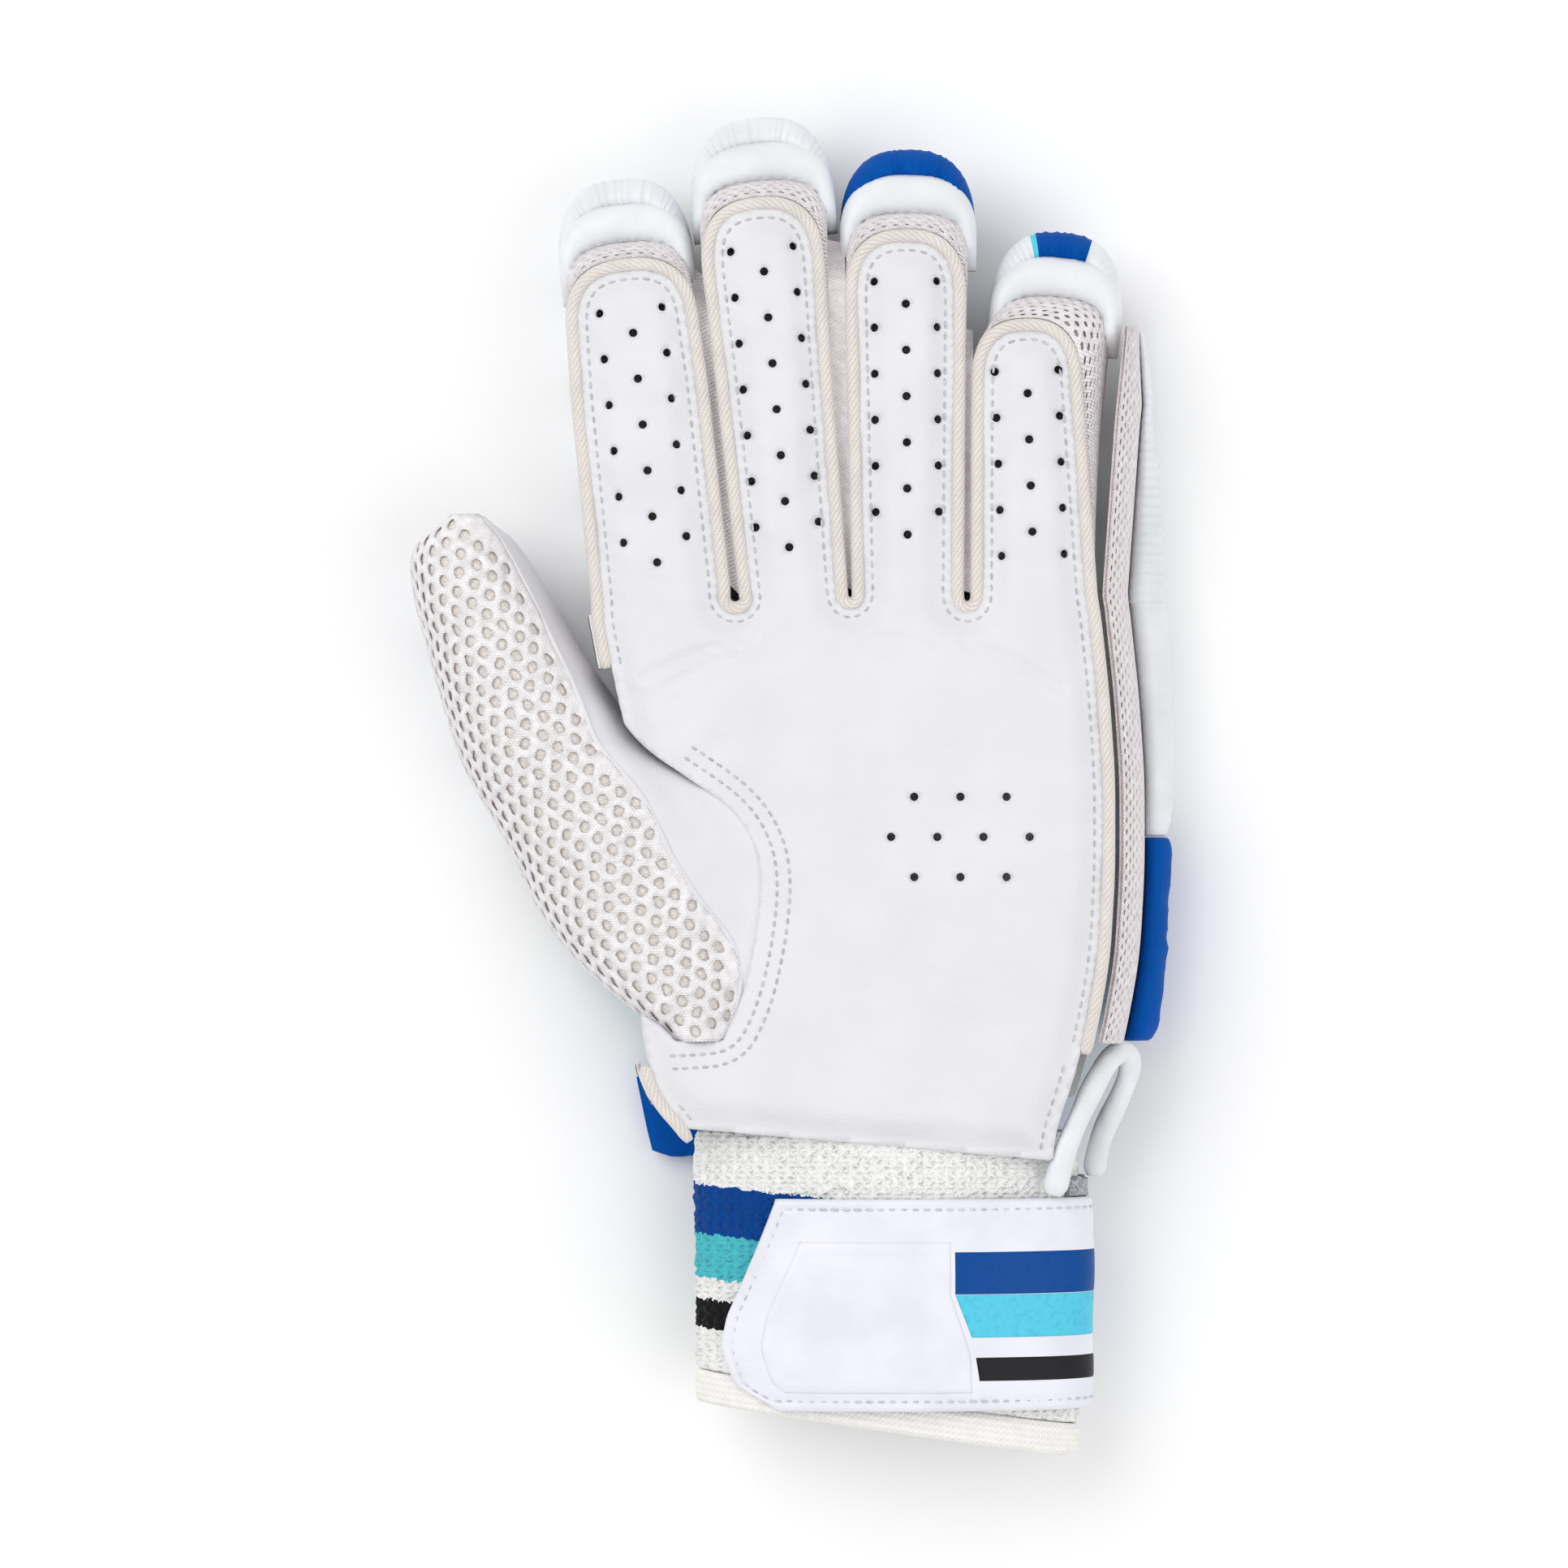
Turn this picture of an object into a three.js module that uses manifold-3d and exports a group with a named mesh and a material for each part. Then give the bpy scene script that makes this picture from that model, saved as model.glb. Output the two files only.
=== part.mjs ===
// Cricket batting glove for the left hand, lying on its padded back with the palm up.
// Millimetres. +Z up out of the palm, +Y towards the fingertips, thumb on the -X side.
import * as THREE from 'three';
import { mergeVertices } from 'three/addons/utils/BufferGeometryUtils.js';
import Module from 'manifold-3d';

const wasm = await Module();
wasm.setup();

// Driving sizes
const HAND_WIDTH = 110;        // across the roots of the four fingers
const FINGER_LENGTH = 104.6;   // middle finger, from the crotch line to the end of its padding
const PALM_LENGTH = 118;       // from the crotch line to the wrist edge of the palm leather
const THUMB_LENGTH = 115.7;    // along the hand, from the thumb's tip to the end of its base
const THUMB_WIDTH = 56;        // the thumb's widest place, at its base
const THUMB_RISE = 23;         // height of the thumb's arch over the base cloth
const ROLL_HEIGHT = 15;        // padding on the back
const HAND_ROOM = 16;          // clear height inside the fingers
const LEATHER = 1.6;
const CLOTH = 1.4;
const TAPE_WIDTH = 3;
const TAPE_THICK = 1.3;
const GAP = 0.3;               // between pieces that lie on each other
const FINGER_GAP = 0.5;        // between a finger and the middle of the slot beside it
const FINGER_CROWN = 2.6;      // bulge of the leather over each finger
const PALM_CROWN = 2.4;        // bulge of the palm between its edges
const CREASE_DEPTH = 1.3;      // folds under the crotches
const TIP_CURVE = 19;          // height of the curve that ends each finger
const TIP_POWER = 2.6;         // 2 makes that curve an ellipse, more makes it squarer
const TIP_LEVEL = 11;          // height of the fingertip's padding over the base cloth
const RIM_REACH = 5.2;         // gathered rim, seen from the palm
const CAP_REACH = 7.4;         // smooth cap, seen from the palm
const MESH_REACH = 4.6;        // mesh between the cap and the tape
const LOBE_CURVE = 14;         // height of the curve that ends the tape and the leather
const FOOT_INSET = 1.6;        // foot of the finger's mesh from the finger's side
const LOBE_LAP = 6;            // how far the lobes reach into the palm
const CLOTH_INSET = 1.8;       // back cloth from the finger's side
const ROLL_INSET = 1;          // padded rolls from the edge of what they back
const TIP_ROLL_INSET = 1.4;    // the same at the fingertips
const RUFFLE = 0.55;           // depth of the gathers
const HOLE_WIDTH = 1.9;
const HOLE_PITCH = 10;
const HOLE_SPREAD = 6.9;       // side columns of holes from the middle one
const HOLE_START = 8.5;        // first holes from the leather's end
const NET_HOLE = 3.2;
const NET_PITCH = 8.4;
const NET_ROWS = 13;
const PALM_SLANT = 7;          // the palm's wrist edge lies this much lower on its outer side
const PAD_WIDTH = 4.6;         // padded bars of the outer edge
const PAD_HEIGHT = 19;
const SIDE_FLARE = 5;          // how far the side mesh leans out
const CUFF_WIDTH = 84;
const CUFF_DEPTH = 27;
const CUFF_LENGTH = 65;
const CUFF_WALL = 2.8;
const HEM_LENGTH = 7;
const HEM_WALL = 3.6;
const HEM_SLANT = 6;           // the cuff is this much longer on its outer side than in its middle
const FLAP_THICK = 6;
const STRAP_WIDTH = 46;
const STRAP_THICK = 2.6;
const STRAP_SEAT = 0.7;        // between the strap and the towelling
const STRIP_WIDTH = 3.5;
const STRIP_TURN = 36;         // degrees round the cuff
const CORD_RADIUS = 2.5;       // rolled leather round the slit

// Levels and places that follow from them
const CLOTH_LOW = ROLL_HEIGHT + GAP;
const CLOTH_TOP = CLOTH_LOW + CLOTH;
const WALL_LOW = CLOTH_TOP + GAP;
const EDGE_LEVEL = CLOTH_TOP + HAND_ROOM;
const TAPE_LOW = EDGE_LEVEL + GAP;
const HALF_HAND = HAND_WIDTH / 2;
const PAD_MIDDLE = ROLL_HEIGHT * 0.75;
const CUFF_START = -PALM_LENGTH * 0.985;
const STRAP_START = CUFF_START - CUFF_LENGTH * 0.22;
const CUFF_MIDDLE_X = HAND_WIDTH * 0.086;
const CUFF_MIDDLE_Z = FLAP_THICK + GAP + CUFF_DEPTH / 2;
const THUMB_X = -HAND_WIDTH * 0.744;
const THUMB_Y = PALM_LENGTH * 0.15;

// Fingers. Places and widths are shares of HAND_WIDTH, lengths are shares of FINGER_LENGTH.
const FINGERS = [
  { name: 'index', root: -0.36, tip: -0.447, length: 0.873, wide: [0.288, 0.284, 0.25], rows: 6, middles: 6 },
  { name: 'middle', root: -0.098, tip: -0.171, length: 1, wide: [0.226, 0.244, 0.302], rows: 7, middles: 7 },
  { name: 'ring', root: 0.127, tip: 0.129, length: 0.93, wide: [0.232, 0.246, 0.28], rows: 6, middles: 6 },
  { name: 'little', root: 0.373, tip: 0.435, length: 0.76, wide: [0.262, 0.252, 0.264], rows: 5, middles: 4 },
];

// Leather lobes with their tape: three of them lean or narrow otherwise than the padding behind them.
const LOBES = {
  index: { root: -0.36, tip: -0.447, wide: [0.288, 0.284, 0.25] },
  middle: { root: -0.098, tip: -0.185, wide: [0.226, 0.244, 0.272] },
  ring: { root: 0.127, tip: 0.12, wide: [0.232, 0.246, 0.26] },
  little: { root: 0.376, tip: 0.352, length: 0.745, wide: [0.262, 0.236, 0.2] },
};

// Edges of the palm. Along is a share of PALM_LENGTH below the crotch line, left and right of HALF_HAND.
const PALM_EDGES = [
  { along: 0, left: -0.955, right: 0.95 },
  { along: 0.17, left: -0.885, right: 0.99 },
  { along: 0.33, left: -0.8, right: 1.014 },
  { along: 0.5, left: -0.76, right: 1.014 },
  { along: 0.66, left: -0.78, right: 0.995 },
  { along: 0.78, left: -0.79, right: 0.95 },
  { along: 0.88, left: -0.75, right: 0.9 },
  { along: 0.96, left: -0.66, right: 0.84 },
  { along: 1, left: -0.54, right: 0.815 },
];

// Thumb. Along and middle are shares of THUMB_LENGTH, half of THUMB_WIDTH, rise of THUMB_RISE.
// Lift raises the inner foot from the base cloth (0) to the palm leather (1); seam is in degrees.
const THUMB_ROWS = [
  { along: 0, middle: -0.002, half: 0.05, rise: 0.3, lift: 0, seam: 48 },
  { along: 0.02, middle: -0.003, half: 0.13, rise: 0.55, lift: 0, seam: 48 },
  { along: 0.066, middle: -0.004, half: 0.225, rise: 0.78, lift: 0, seam: 46 },
  { along: 0.157, middle: 0.029, half: 0.271, rise: 0.93, lift: 0, seam: 46 },
  { along: 0.249, middle: 0.067, half: 0.295, rise: 1, lift: 0, seam: 48 },
  { along: 0.347, middle: 0.115, half: 0.341, rise: 1.02, lift: 0, seam: 56 },
  { along: 0.433, middle: 0.157, half: 0.37, rise: 1.04, lift: 0.1, seam: 64 },
  { along: 0.489, middle: 0.212, half: 0.44, rise: 1.04, lift: 0.9, seam: 68 },
  { along: 0.555, middle: 0.28, half: 0.495, rise: 1.04, lift: 1, seam: 76 },
  { along: 0.64, middle: 0.325, half: 0.488, rise: 1.02, lift: 1, seam: 78 },
  { along: 0.73, middle: 0.343, half: 0.45, rise: 1, lift: 1, seam: 66 },
  { along: 0.82, middle: 0.368, half: 0.37, rise: 0.97, lift: 1, seam: 40 },
  { along: 0.91, middle: 0.405, half: 0.25, rise: 0.94, lift: 1, seam: 28 },
  { along: 0.985, middle: 0.44, half: 0.1, rise: 0.9, lift: 1, seam: 24 },
];

// Outer edge. Positive along is a share of the little finger, negative of the palm.
// Reach is how far the padded bar's outer face stands beyond the leather's edge, in HALF_HAND.
const SIDE_ROWS = [
  { along: 0.76, reach: 0.125, bar: 'white' },
  { along: 0.55, reach: 0.175, bar: 'white' },
  { along: 0.3, reach: 0.235, bar: 'white' },
  { along: 0.1, reach: 0.275, bar: 'white' },
  { along: -0.06, reach: 0.28, bar: 'white' },
  { along: -0.25, reach: 0.255, bar: 'white' },
  { along: -0.44, reach: 0.245, bar: 'both' },
  { along: -0.58, reach: 0.235, bar: 'blue' },
  { along: -0.72, reach: 0.25, bar: 'blue' },
  { along: -0.82, reach: 0.265, bar: 'blue' },
];

// Rolls across the back of the hand: start and end are shares of PALM_LENGTH.
const HAND_ROLLS = [
  { start: 0.01, end: 0.18, colour: 'leather' },
  { start: 0.185, end: 0.35, colour: 'leather' },
  { start: 0.355, end: 0.5, colour: 'blue' },
  { start: 0.505, end: 0.65, colour: 'leather' },
  { start: 0.655, end: 0.8, colour: 'cyan' },
];

// Rolls along the back of each finger: start and end are shares of the length up to the tip's curve.
const FINGER_ROLLS = [
  { start: 0.03, end: 0.33, colour: 'leather' },
  { start: 0.345, end: 0.65, colour: 'leather' },
  { start: 0.665, end: 0.98, colour: 'leather' },
];

// Rolls on the back of the thumb: start and end are shares of THUMB_LENGTH.
const THUMB_ROLLS = [
  { start: 0.06, end: 0.25 },
  { start: 0.26, end: 0.44 },
  { start: 0.45, end: 0.62 },
];

// Left end of the strap: down is a share of STRAP_WIDTH, left of CUFF_WIDTH from the cuff's middle.
const STRAP_END = [
  { down: 0, left: -0.27 },
  { down: 0.27, left: -0.325 },
  { down: 0.55, left: -0.39 },
  { down: 0.7, left: -0.405 },
  { down: 0.88, left: -0.375 },
  { down: 1, left: -0.26 },
];

// Rolled leather round the slit. Across is the sum of a share of HALF_HAND and one of CUFF_WIDTH,
// along is a share of PALM_LENGTH, level of EDGE_LEVEL.
const SLIT_ROUTE = [
  { hand: 0.172, cuff: 0.431, along: 1.1, level: 0.95 },
  { hand: 0.172, cuff: 0.454, along: 1.03, level: 0.97 },
  { hand: 0.54, cuff: 0.239, along: 0.985, level: 0.95 },
  { hand: 0.985, cuff: 0, along: 0.905, level: 0.85 },
  { hand: 1.06, cuff: 0, along: 0.845, level: 0.75 },
  { hand: 1.125, cuff: 0, along: 0.83, level: 0.7 },
  { hand: 1.15, cuff: 0, along: 0.865, level: 0.65 },
  { hand: 0.68, cuff: 0.272, along: 0.93, level: 0.6 },
  { hand: 0.172, cuff: 0.565, along: 0.985, level: 0.58 },
  { hand: 0.172, cuff: 0.546, along: 1.035, level: 0.57 },
  { hand: 0.172, cuff: 0.541, along: 1.07, level: 0.57 },
];

const COLOURS = {
  leather: { colour: 0xe6e6ea, roughness: 0.55 },
  white: { colour: 0xeef1f3, roughness: 0.4 },
  cloth: { colour: 0xe2e0dc, roughness: 0.9 },
  mesh: { colour: 0xe9e2e5, roughness: 0.85 },
  tape: { colour: 0xece4dc, roughness: 0.9 },
  towel: { colour: 0xe8e8e4, roughness: 0.95 },
  blue: { colour: 0x0a55b4, roughness: 0.4 },
  cyan: { colour: 0x55c8e4, roughness: 0.4 },
  black: { colour: 0x262628, roughness: 0.5 },
  grey: { colour: 0x8c8e92, roughness: 0.9 },
};

const glove = new THREE.Group();

function material(kind) {
  const look = COLOURS[kind];
  return new THREE.MeshStandardMaterial({ color: look.colour, roughness: look.roughness, metalness: 0 });
}

function add(name, geometry, kind, parent = glove) {
  const mesh = new THREE.Mesh(geometry, material(kind));
  mesh.name = name;
  parent.add(mesh);
  return mesh;
}

// Straight mixing of two values, and the same along a table's column.
function mix(a, b, share) {
  return a + (b - a) * share;
}

function readTable(rows, key, column, value) {
  const rising = rows[rows.length - 1][key] > rows[0][key];
  for (let i = 0; i < rows.length - 1; i += 1) {
    const next = rows[i + 1][key];
    if ((rising ? value <= next : value >= next) || i === rows.length - 2) {
      const share = (value - rows[i][key]) / (next - rows[i][key]);
      return mix(rows[i][column], rows[i + 1][column], THREE.MathUtils.clamp(share, 0, 1));
    }
  }
  return rows[0][column];
}

// A closed geometry from points and triangles, turned so that its faces point out.
function closedGeometry(points, triangles) {
  let volume = 0;
  for (const [a, b, c] of triangles) {
    volume += points[a].dot(new THREE.Vector3().crossVectors(points[b], points[c]));
  }
  const ordered = volume < 0 ? triangles.map(([a, b, c]) => [a, c, b]) : triangles;
  const geometry = new THREE.BufferGeometry();
  geometry.setAttribute('position', new THREE.Float32BufferAttribute(points.flatMap((p) => p.toArray()), 3));
  geometry.setIndex(ordered.flat());
  return geometry;
}

// A solid through rings that each close on themselves, with its two ends filled by fans.
function loft(rings) {
  const count = rings[0].length;
  const points = rings.flat();
  const triangles = [];
  for (let r = 0; r < rings.length - 1; r += 1) {
    for (let i = 0; i < count; i += 1) {
      const j = (i + 1) % count;
      const low = r * count;
      const high = low + count;
      triangles.push([low + i, low + j, high + j], [low + i, high + j, high + i]);
    }
  }
  const last = (rings.length - 1) * count;
  for (let i = 1; i < count - 1; i += 1) {
    triangles.push([0, i + 1, i], [last, last + i, last + i + 1]);
  }
  return closedGeometry(points, triangles);
}

// A wall between two grids of points. A wrapped wall joins its last column to its first.
function wall(outer, inner, wrapped = false) {
  const rows = outer.length;
  const columns = outer[0].length;
  const points = [...outer.flat(), ...inner.flat()];
  const inside = rows * columns;
  const at = (row, column) => row * columns + (column % columns);
  const triangles = [];
  const quad = (a, b, c, d) => triangles.push([a, b, c], [a, c, d]);
  const spans = wrapped ? columns : columns - 1;
  for (let r = 0; r < rows - 1; r += 1) {
    for (let c = 0; c < spans; c += 1) {
      quad(at(r, c), at(r, c + 1), at(r + 1, c + 1), at(r + 1, c));
      quad(inside + at(r, c), inside + at(r + 1, c), inside + at(r + 1, c + 1), inside + at(r, c + 1));
    }
    if (!wrapped) {
      const end = columns - 1;
      quad(at(r, 0), at(r + 1, 0), inside + at(r + 1, 0), inside + at(r, 0));
      quad(at(r, end), inside + at(r, end), inside + at(r + 1, end), at(r + 1, end));
    }
  }
  for (let c = 0; c < spans; c += 1) {
    const end = rows - 1;
    quad(at(0, c), inside + at(0, c), inside + at(0, c + 1), at(0, c + 1));
    quad(at(end, c), at(end, c + 1), inside + at(end, c + 1), inside + at(end, c));
  }
  return closedGeometry(points, triangles);
}

// Joining and cutting
function toSolid(geometry, matrix = new THREE.Matrix4()) {
  const bare = geometry.clone().applyMatrix4(matrix);
  bare.deleteAttribute('normal');
  bare.deleteAttribute('uv');
  const merged = mergeVertices(bare, 1e-4);
  const vertProperties = new Float32Array(merged.attributes.position.array);
  const triVerts = new Uint32Array(merged.index.array);
  return new wasm.Manifold(new wasm.Mesh({ numProp: 3, vertProperties, triVerts }));
}

function toGeometry(solid) {
  const mesh = solid.getMesh();
  const geometry = new THREE.BufferGeometry();
  geometry.setAttribute('position', new THREE.BufferAttribute(mesh.vertProperties, 3));
  geometry.setIndex(new THREE.BufferAttribute(mesh.triVerts, 1));
  return geometry;
}

function prism(points, low, high) {
  const shape = new THREE.Shape(points);
  const geometry = new THREE.ExtrudeGeometry(shape, { depth: high - low, bevelEnabled: false });
  return geometry.translate(0, 0, low);
}

function pin(x, y, radius, sides, low, high) {
  const geometry = new THREE.CylinderGeometry(radius, radius, high - low, sides);
  return geometry.rotateX(Math.PI / 2).translate(x, y, (low + high) / 2);
}

// Finger frames: each finger is built along +Y from its root and then leans to its place.
function fingerSize(finger) {
  const length = finger.length * FINGER_LENGTH;
  const rootX = finger.root * HAND_WIDTH;
  const tipX = finger.tip * HAND_WIDTH;
  return { length, rootX, lean: -Math.atan2(tipX - rootX, length) };
}

function fingerMatrix(finger) {
  const { rootX, lean } = fingerSize(finger);
  return new THREE.Matrix4().makeRotationZ(lean).setPosition(rootX, 0, 0);
}

function lobeOf(finger) {
  return { ...finger, ...LOBES[finger.name] };
}

function halfWidth(finger, y) {
  const { length } = fingerSize(finger);
  const share = THREE.MathUtils.clamp(y / length, 0, 1) * 2;
  const [root, middle, tip] = finger.wide;
  const width = share < 1 ? mix(root, middle, share) : mix(middle, tip, share - 1);
  return (width * HAND_WIDTH) / 2 - FINGER_GAP;
}

// A point on a half ellipse of height and half width one, drawn squarer.
function tipCurve(angle) {
  const cosine = Math.cos(angle);
  const power = 2 / TIP_POWER;
  return { across: Math.sign(cosine) * Math.abs(cosine) ** power, along: Math.abs(Math.sin(angle)) ** power };
}

// An arch up one side of a finger, round its end and down the other side.
function fingerArch(finger, end, curve, inset, sideSteps, curveSteps) {
  const points = [];
  const springing = end - curve;
  for (let i = 0; i < sideSteps; i += 1) {
    const y = (springing * i) / sideSteps;
    points.push(new THREE.Vector2(-halfWidth(finger, y) + inset, y));
  }
  const half = halfWidth(finger, springing) - inset;
  for (let i = 0; i <= curveSteps; i += 1) {
    const { across, along } = tipCurve(Math.PI - (Math.PI * i) / curveSteps);
    points.push(new THREE.Vector2(half * across, springing + curve * along));
  }
  for (let i = sideSteps - 1; i >= 0; i -= 1) {
    const y = (springing * i) / sideSteps;
    points.push(new THREE.Vector2(halfWidth(finger, y) - inset, y));
  }
  return points;
}

function raise(points, level) {
  return points.map((p) => new THREE.Vector3(p.x, p.y, level));
}

function tapeEnd(finger) {
  return fingerSize(finger).length - RIM_REACH - CAP_REACH - MESH_REACH;
}

// Mesh side walls of a finger, from the padding's sides up to the lobe's tape.
function gusset(finger) {
  const lobe = lobeOf(finger);
  const toFinger = fingerMatrix(finger).invert().multiply(fingerMatrix(lobe));
  const end = tapeEnd(lobe);
  const foot = tapeEnd(finger) + MESH_REACH - GAP;
  const footCurve = TIP_CURVE - RIM_REACH - CAP_REACH - GAP;
  const low = fingerArch(finger, foot, footCurve, FOOT_INSET, 4, 8);
  const lowInside = fingerArch(finger, foot - CLOTH, footCurve, FOOT_INSET + CLOTH, 4, 8);
  const atLobe = (points) => raise(points, EDGE_LEVEL).map((point) => point.applyMatrix4(toFinger));
  const high = atLobe(fingerArch(lobe, end, LOBE_CURVE, GAP, 4, 8));
  const highInside = atLobe(fingerArch(lobe, end - CLOTH, LOBE_CURVE, GAP + CLOTH, 4, 8));
  return wall([raise(low, WALL_LOW), high], [raise(lowInside, WALL_LOW), highInside]);
}

// Woven tape that frames the leather of a finger.
function fingerTape(finger) {
  const outer = fingerArch(finger, tapeEnd(finger), LOBE_CURVE, 0, 4, 8);
  const inner = fingerArch(finger, tapeEnd(finger) - TAPE_WIDTH, LOBE_CURVE - 1, TAPE_WIDTH, 4, 8);
  const top = TAPE_LOW + TAPE_THICK;
  return wall([raise(outer, TAPE_LOW), raise(outer, top)], [raise(inner, TAPE_LOW), raise(inner, top)]);
}

// A padded crescent between two curves round the fingertip, with gathers.
const CRESCENT_START = THREE.MathUtils.degToRad(8);

function crescent(finger, outer, inner, profile, steps, gathers, depth) {
  const springing = fingerSize(finger).length - TIP_CURVE;
  const half = halfWidth(finger, springing);
  const rings = [];
  for (let i = 0; i <= steps; i += 1) {
    const angle = mix(Math.PI - CRESCENT_START, CRESCENT_START, i / steps);
    const wave = gathers > 0 ? Math.cos((2 * Math.PI * gathers * i) / steps) * depth : 0;
    rings.push(profile.map(([out, level]) => {
      const reach = mix(inner.reach, outer.reach, out) + wave * out;
      const side = half - mix(inner.inset, outer.inset, out);
      const z = WALL_LOW + level * TIP_LEVEL + wave * level;
      const { across, along } = tipCurve(angle);
      return new THREE.Vector3(side * across, springing + reach * along, z);
    }));
  }
  return loft(rings);
}

function tipCap(finger) {
  const outer = { reach: TIP_CURVE - RIM_REACH - GAP, inset: FOOT_INSET * 0.5 };
  const inner = { reach: TIP_CURVE - RIM_REACH - CAP_REACH, inset: FOOT_INSET - GAP };
  const profile = [[0, 0], [0, 0.95], [0.3, 1.12], [0.7, 1.1], [1, 0.85], [1, 0]];
  return crescent(finger, outer, inner, profile, 8, 0, 0);
}

function tipRim(finger) {
  const outer = { reach: TIP_CURVE, inset: 0 };
  const inner = { reach: TIP_CURVE - RIM_REACH, inset: FOOT_INSET * 0.5 - GAP };
  const profile = [[0, -0.55], [0, 0.72], [0.45, 0.86], [0.95, 0.45], [1, -0.1], [0.5, -0.62]];
  return crescent(finger, outer, inner, profile, 18, 9, RUFFLE);
}

// A padded roll that lies across: its section is round above the ground and flat where it rests.
const ROLL_SECTION = [
  { along: 0.02, level: 1 }, { along: 0, level: 0.45 }, { along: 0.1, level: 0.13 }, { along: 0.26, level: 0 },
  { along: 0.74, level: 0 }, { along: 0.9, level: 0.13 }, { along: 1, level: 0.45 }, { along: 0.98, level: 1 },
];
const ROLL_RINGS = [
  { across: 0, swell: 0.6, width: 0.85 }, { across: 0.12, swell: 1, width: 1 },
  { across: 0.88, swell: 1, width: 1 }, { across: 1, swell: 0.6, width: 0.85 },
];

function roll(leftAt, rightAt, start, end, low, high) {
  const middle = (start + end) / 2;
  return loft(ROLL_RINGS.map((ring) => ROLL_SECTION.map((point) => {
    const y = middle + (mix(start, end, point.along) - middle) * ring.width;
    const x = mix(leftAt(y), rightAt(y), ring.across);
    const z = high - (high - low) * (1 - point.level) * ring.swell;
    return new THREE.Vector3(x, y, z);
  })));
}

function tipRoll(finger) {
  const springing = fingerSize(finger).length - TIP_CURVE;
  const half = halfWidth(finger, springing) - TIP_ROLL_INSET;
  const reach = TIP_CURVE - RIM_REACH - ROLL_INSET;
  const ends = [
    { out: 0.01, low: 0 }, { out: 0.5, low: 0 }, { out: 0.8, low: 0.12 }, { out: 0.97, low: 0.45 },
  ];
  return loft(ends.map((end) => {
    const side = half * (1 - end.out ** TIP_POWER) ** (1 / TIP_POWER);
    const y = springing + reach * end.out;
    const low = end.low * ROLL_HEIGHT;
    const bevel = mix(low, ROLL_HEIGHT, 0.3);
    const flat = 0.75;
    return [
      new THREE.Vector3(-side, y, ROLL_HEIGHT), new THREE.Vector3(-side, y, bevel),
      new THREE.Vector3(-side * flat, y, low), new THREE.Vector3(side * flat, y, low),
      new THREE.Vector3(side, y, bevel), new THREE.Vector3(side, y, ROLL_HEIGHT),
    ];
  }));
}

function leaningGroup(finger) {
  const { rootX, lean } = fingerSize(finger);
  const group = new THREE.Group();
  group.position.set(rootX, 0, 0);
  group.rotation.z = lean;
  glove.add(group);
  return group;
}

function buildFinger(finger) {
  const { length } = fingerSize(finger);
  const group = leaningGroup(finger);
  const lobe = lobeOf(finger);
  add(`gusset_${finger.name}`, gusset(finger), 'mesh', group);
  add(`binding_${finger.name}`, fingerTape(lobe), 'tape', leaningGroup(lobe));
  add(`cap_${finger.name}`, tipCap(finger), 'white', group);
  add(`rim_${finger.name}`, tipRim(finger), finger.name === 'ring' ? 'blue' : 'white', group);
  add(`tip_roll_${finger.name}`, tipRoll(finger), 'white', group);
  const side = (y) => halfWidth(finger, y) - ROLL_INSET;
  const span = length - TIP_CURVE;
  FINGER_ROLLS.forEach((row, i) => {
    const body = roll((y) => -side(y), side, row.start * span, row.end * span, 0, ROLL_HEIGHT);
    add(`finger_roll_${finger.name}_${i + 1}`, body, row.colour, group);
  });
}

// Plan outlines of the palm and the thumb
function palmLeft(y) {
  return readTable(PALM_EDGES, 'along', 'left', -y / PALM_LENGTH) * HALF_HAND;
}

function palmRight(y) {
  return readTable(PALM_EDGES, 'along', 'right', -y / PALM_LENGTH) * HALF_HAND;
}

function palmOutline(growLeft, growRight, start, end, slant = 0) {
  const leftHeights = edgeHeights(start, end - slant / 2);
  const rightHeights = edgeHeights(start, end + slant / 2);
  const left = leftHeights.map((y) => new THREE.Vector2(palmLeft(y) - growLeft, y));
  const right = rightHeights.map((y) => new THREE.Vector2(palmRight(y) + growRight, y));
  return [...left, ...right.reverse()];
}

function thumbRow(row) {
  const y = THUMB_Y - row.along * THUMB_LENGTH;
  const x = THUMB_X + row.middle * THUMB_LENGTH;
  const half = row.half * THUMB_WIDTH;
  return { x, y, half, top: WALL_LOW + row.rise * THUMB_RISE };
}

function thumbOutline(grow) {
  const rows = THUMB_ROWS.map(thumbRow);
  const left = rows.map((row) => new THREE.Vector2(row.x - row.half - grow, row.y));
  const right = rows.map((row) => new THREE.Vector2(row.x + row.half + grow, row.y));
  left[0].y += grow;
  right[0].y += grow;
  return [...left, ...right.reverse()];
}

// Palm leather: a crowned sheet, cut to the outline of the palm and the four lobes, and pierced.
const STAGGER = Math.sin(Math.PI / 3);
const ACROSS = [-1, -0.45, 0.45, 1];
const LOBE_SHARES = [1.04, 0.7, 0.35, 0.05];
const PALM_SHARES = [
  { along: 0.045, crown: 0.75, crease: 0.4 },
  { along: 0.1, crown: 0.35, crease: 1 },
  { along: 0.16, crown: 0.1, crease: 0.1 },
  { along: 0.4, crown: 0, crease: 0 },
  { along: 0.65, crown: 0, crease: 0 },
  { along: 0.85, crown: 0, crease: 0 },
  { along: 1.06, crown: 0, crease: 0 },
];

function palmSwell(x) {
  const share = Math.min(Math.abs(x) / HALF_HAND, 1.1);
  return PALM_CROWN * (1 - share * share);
}

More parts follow.
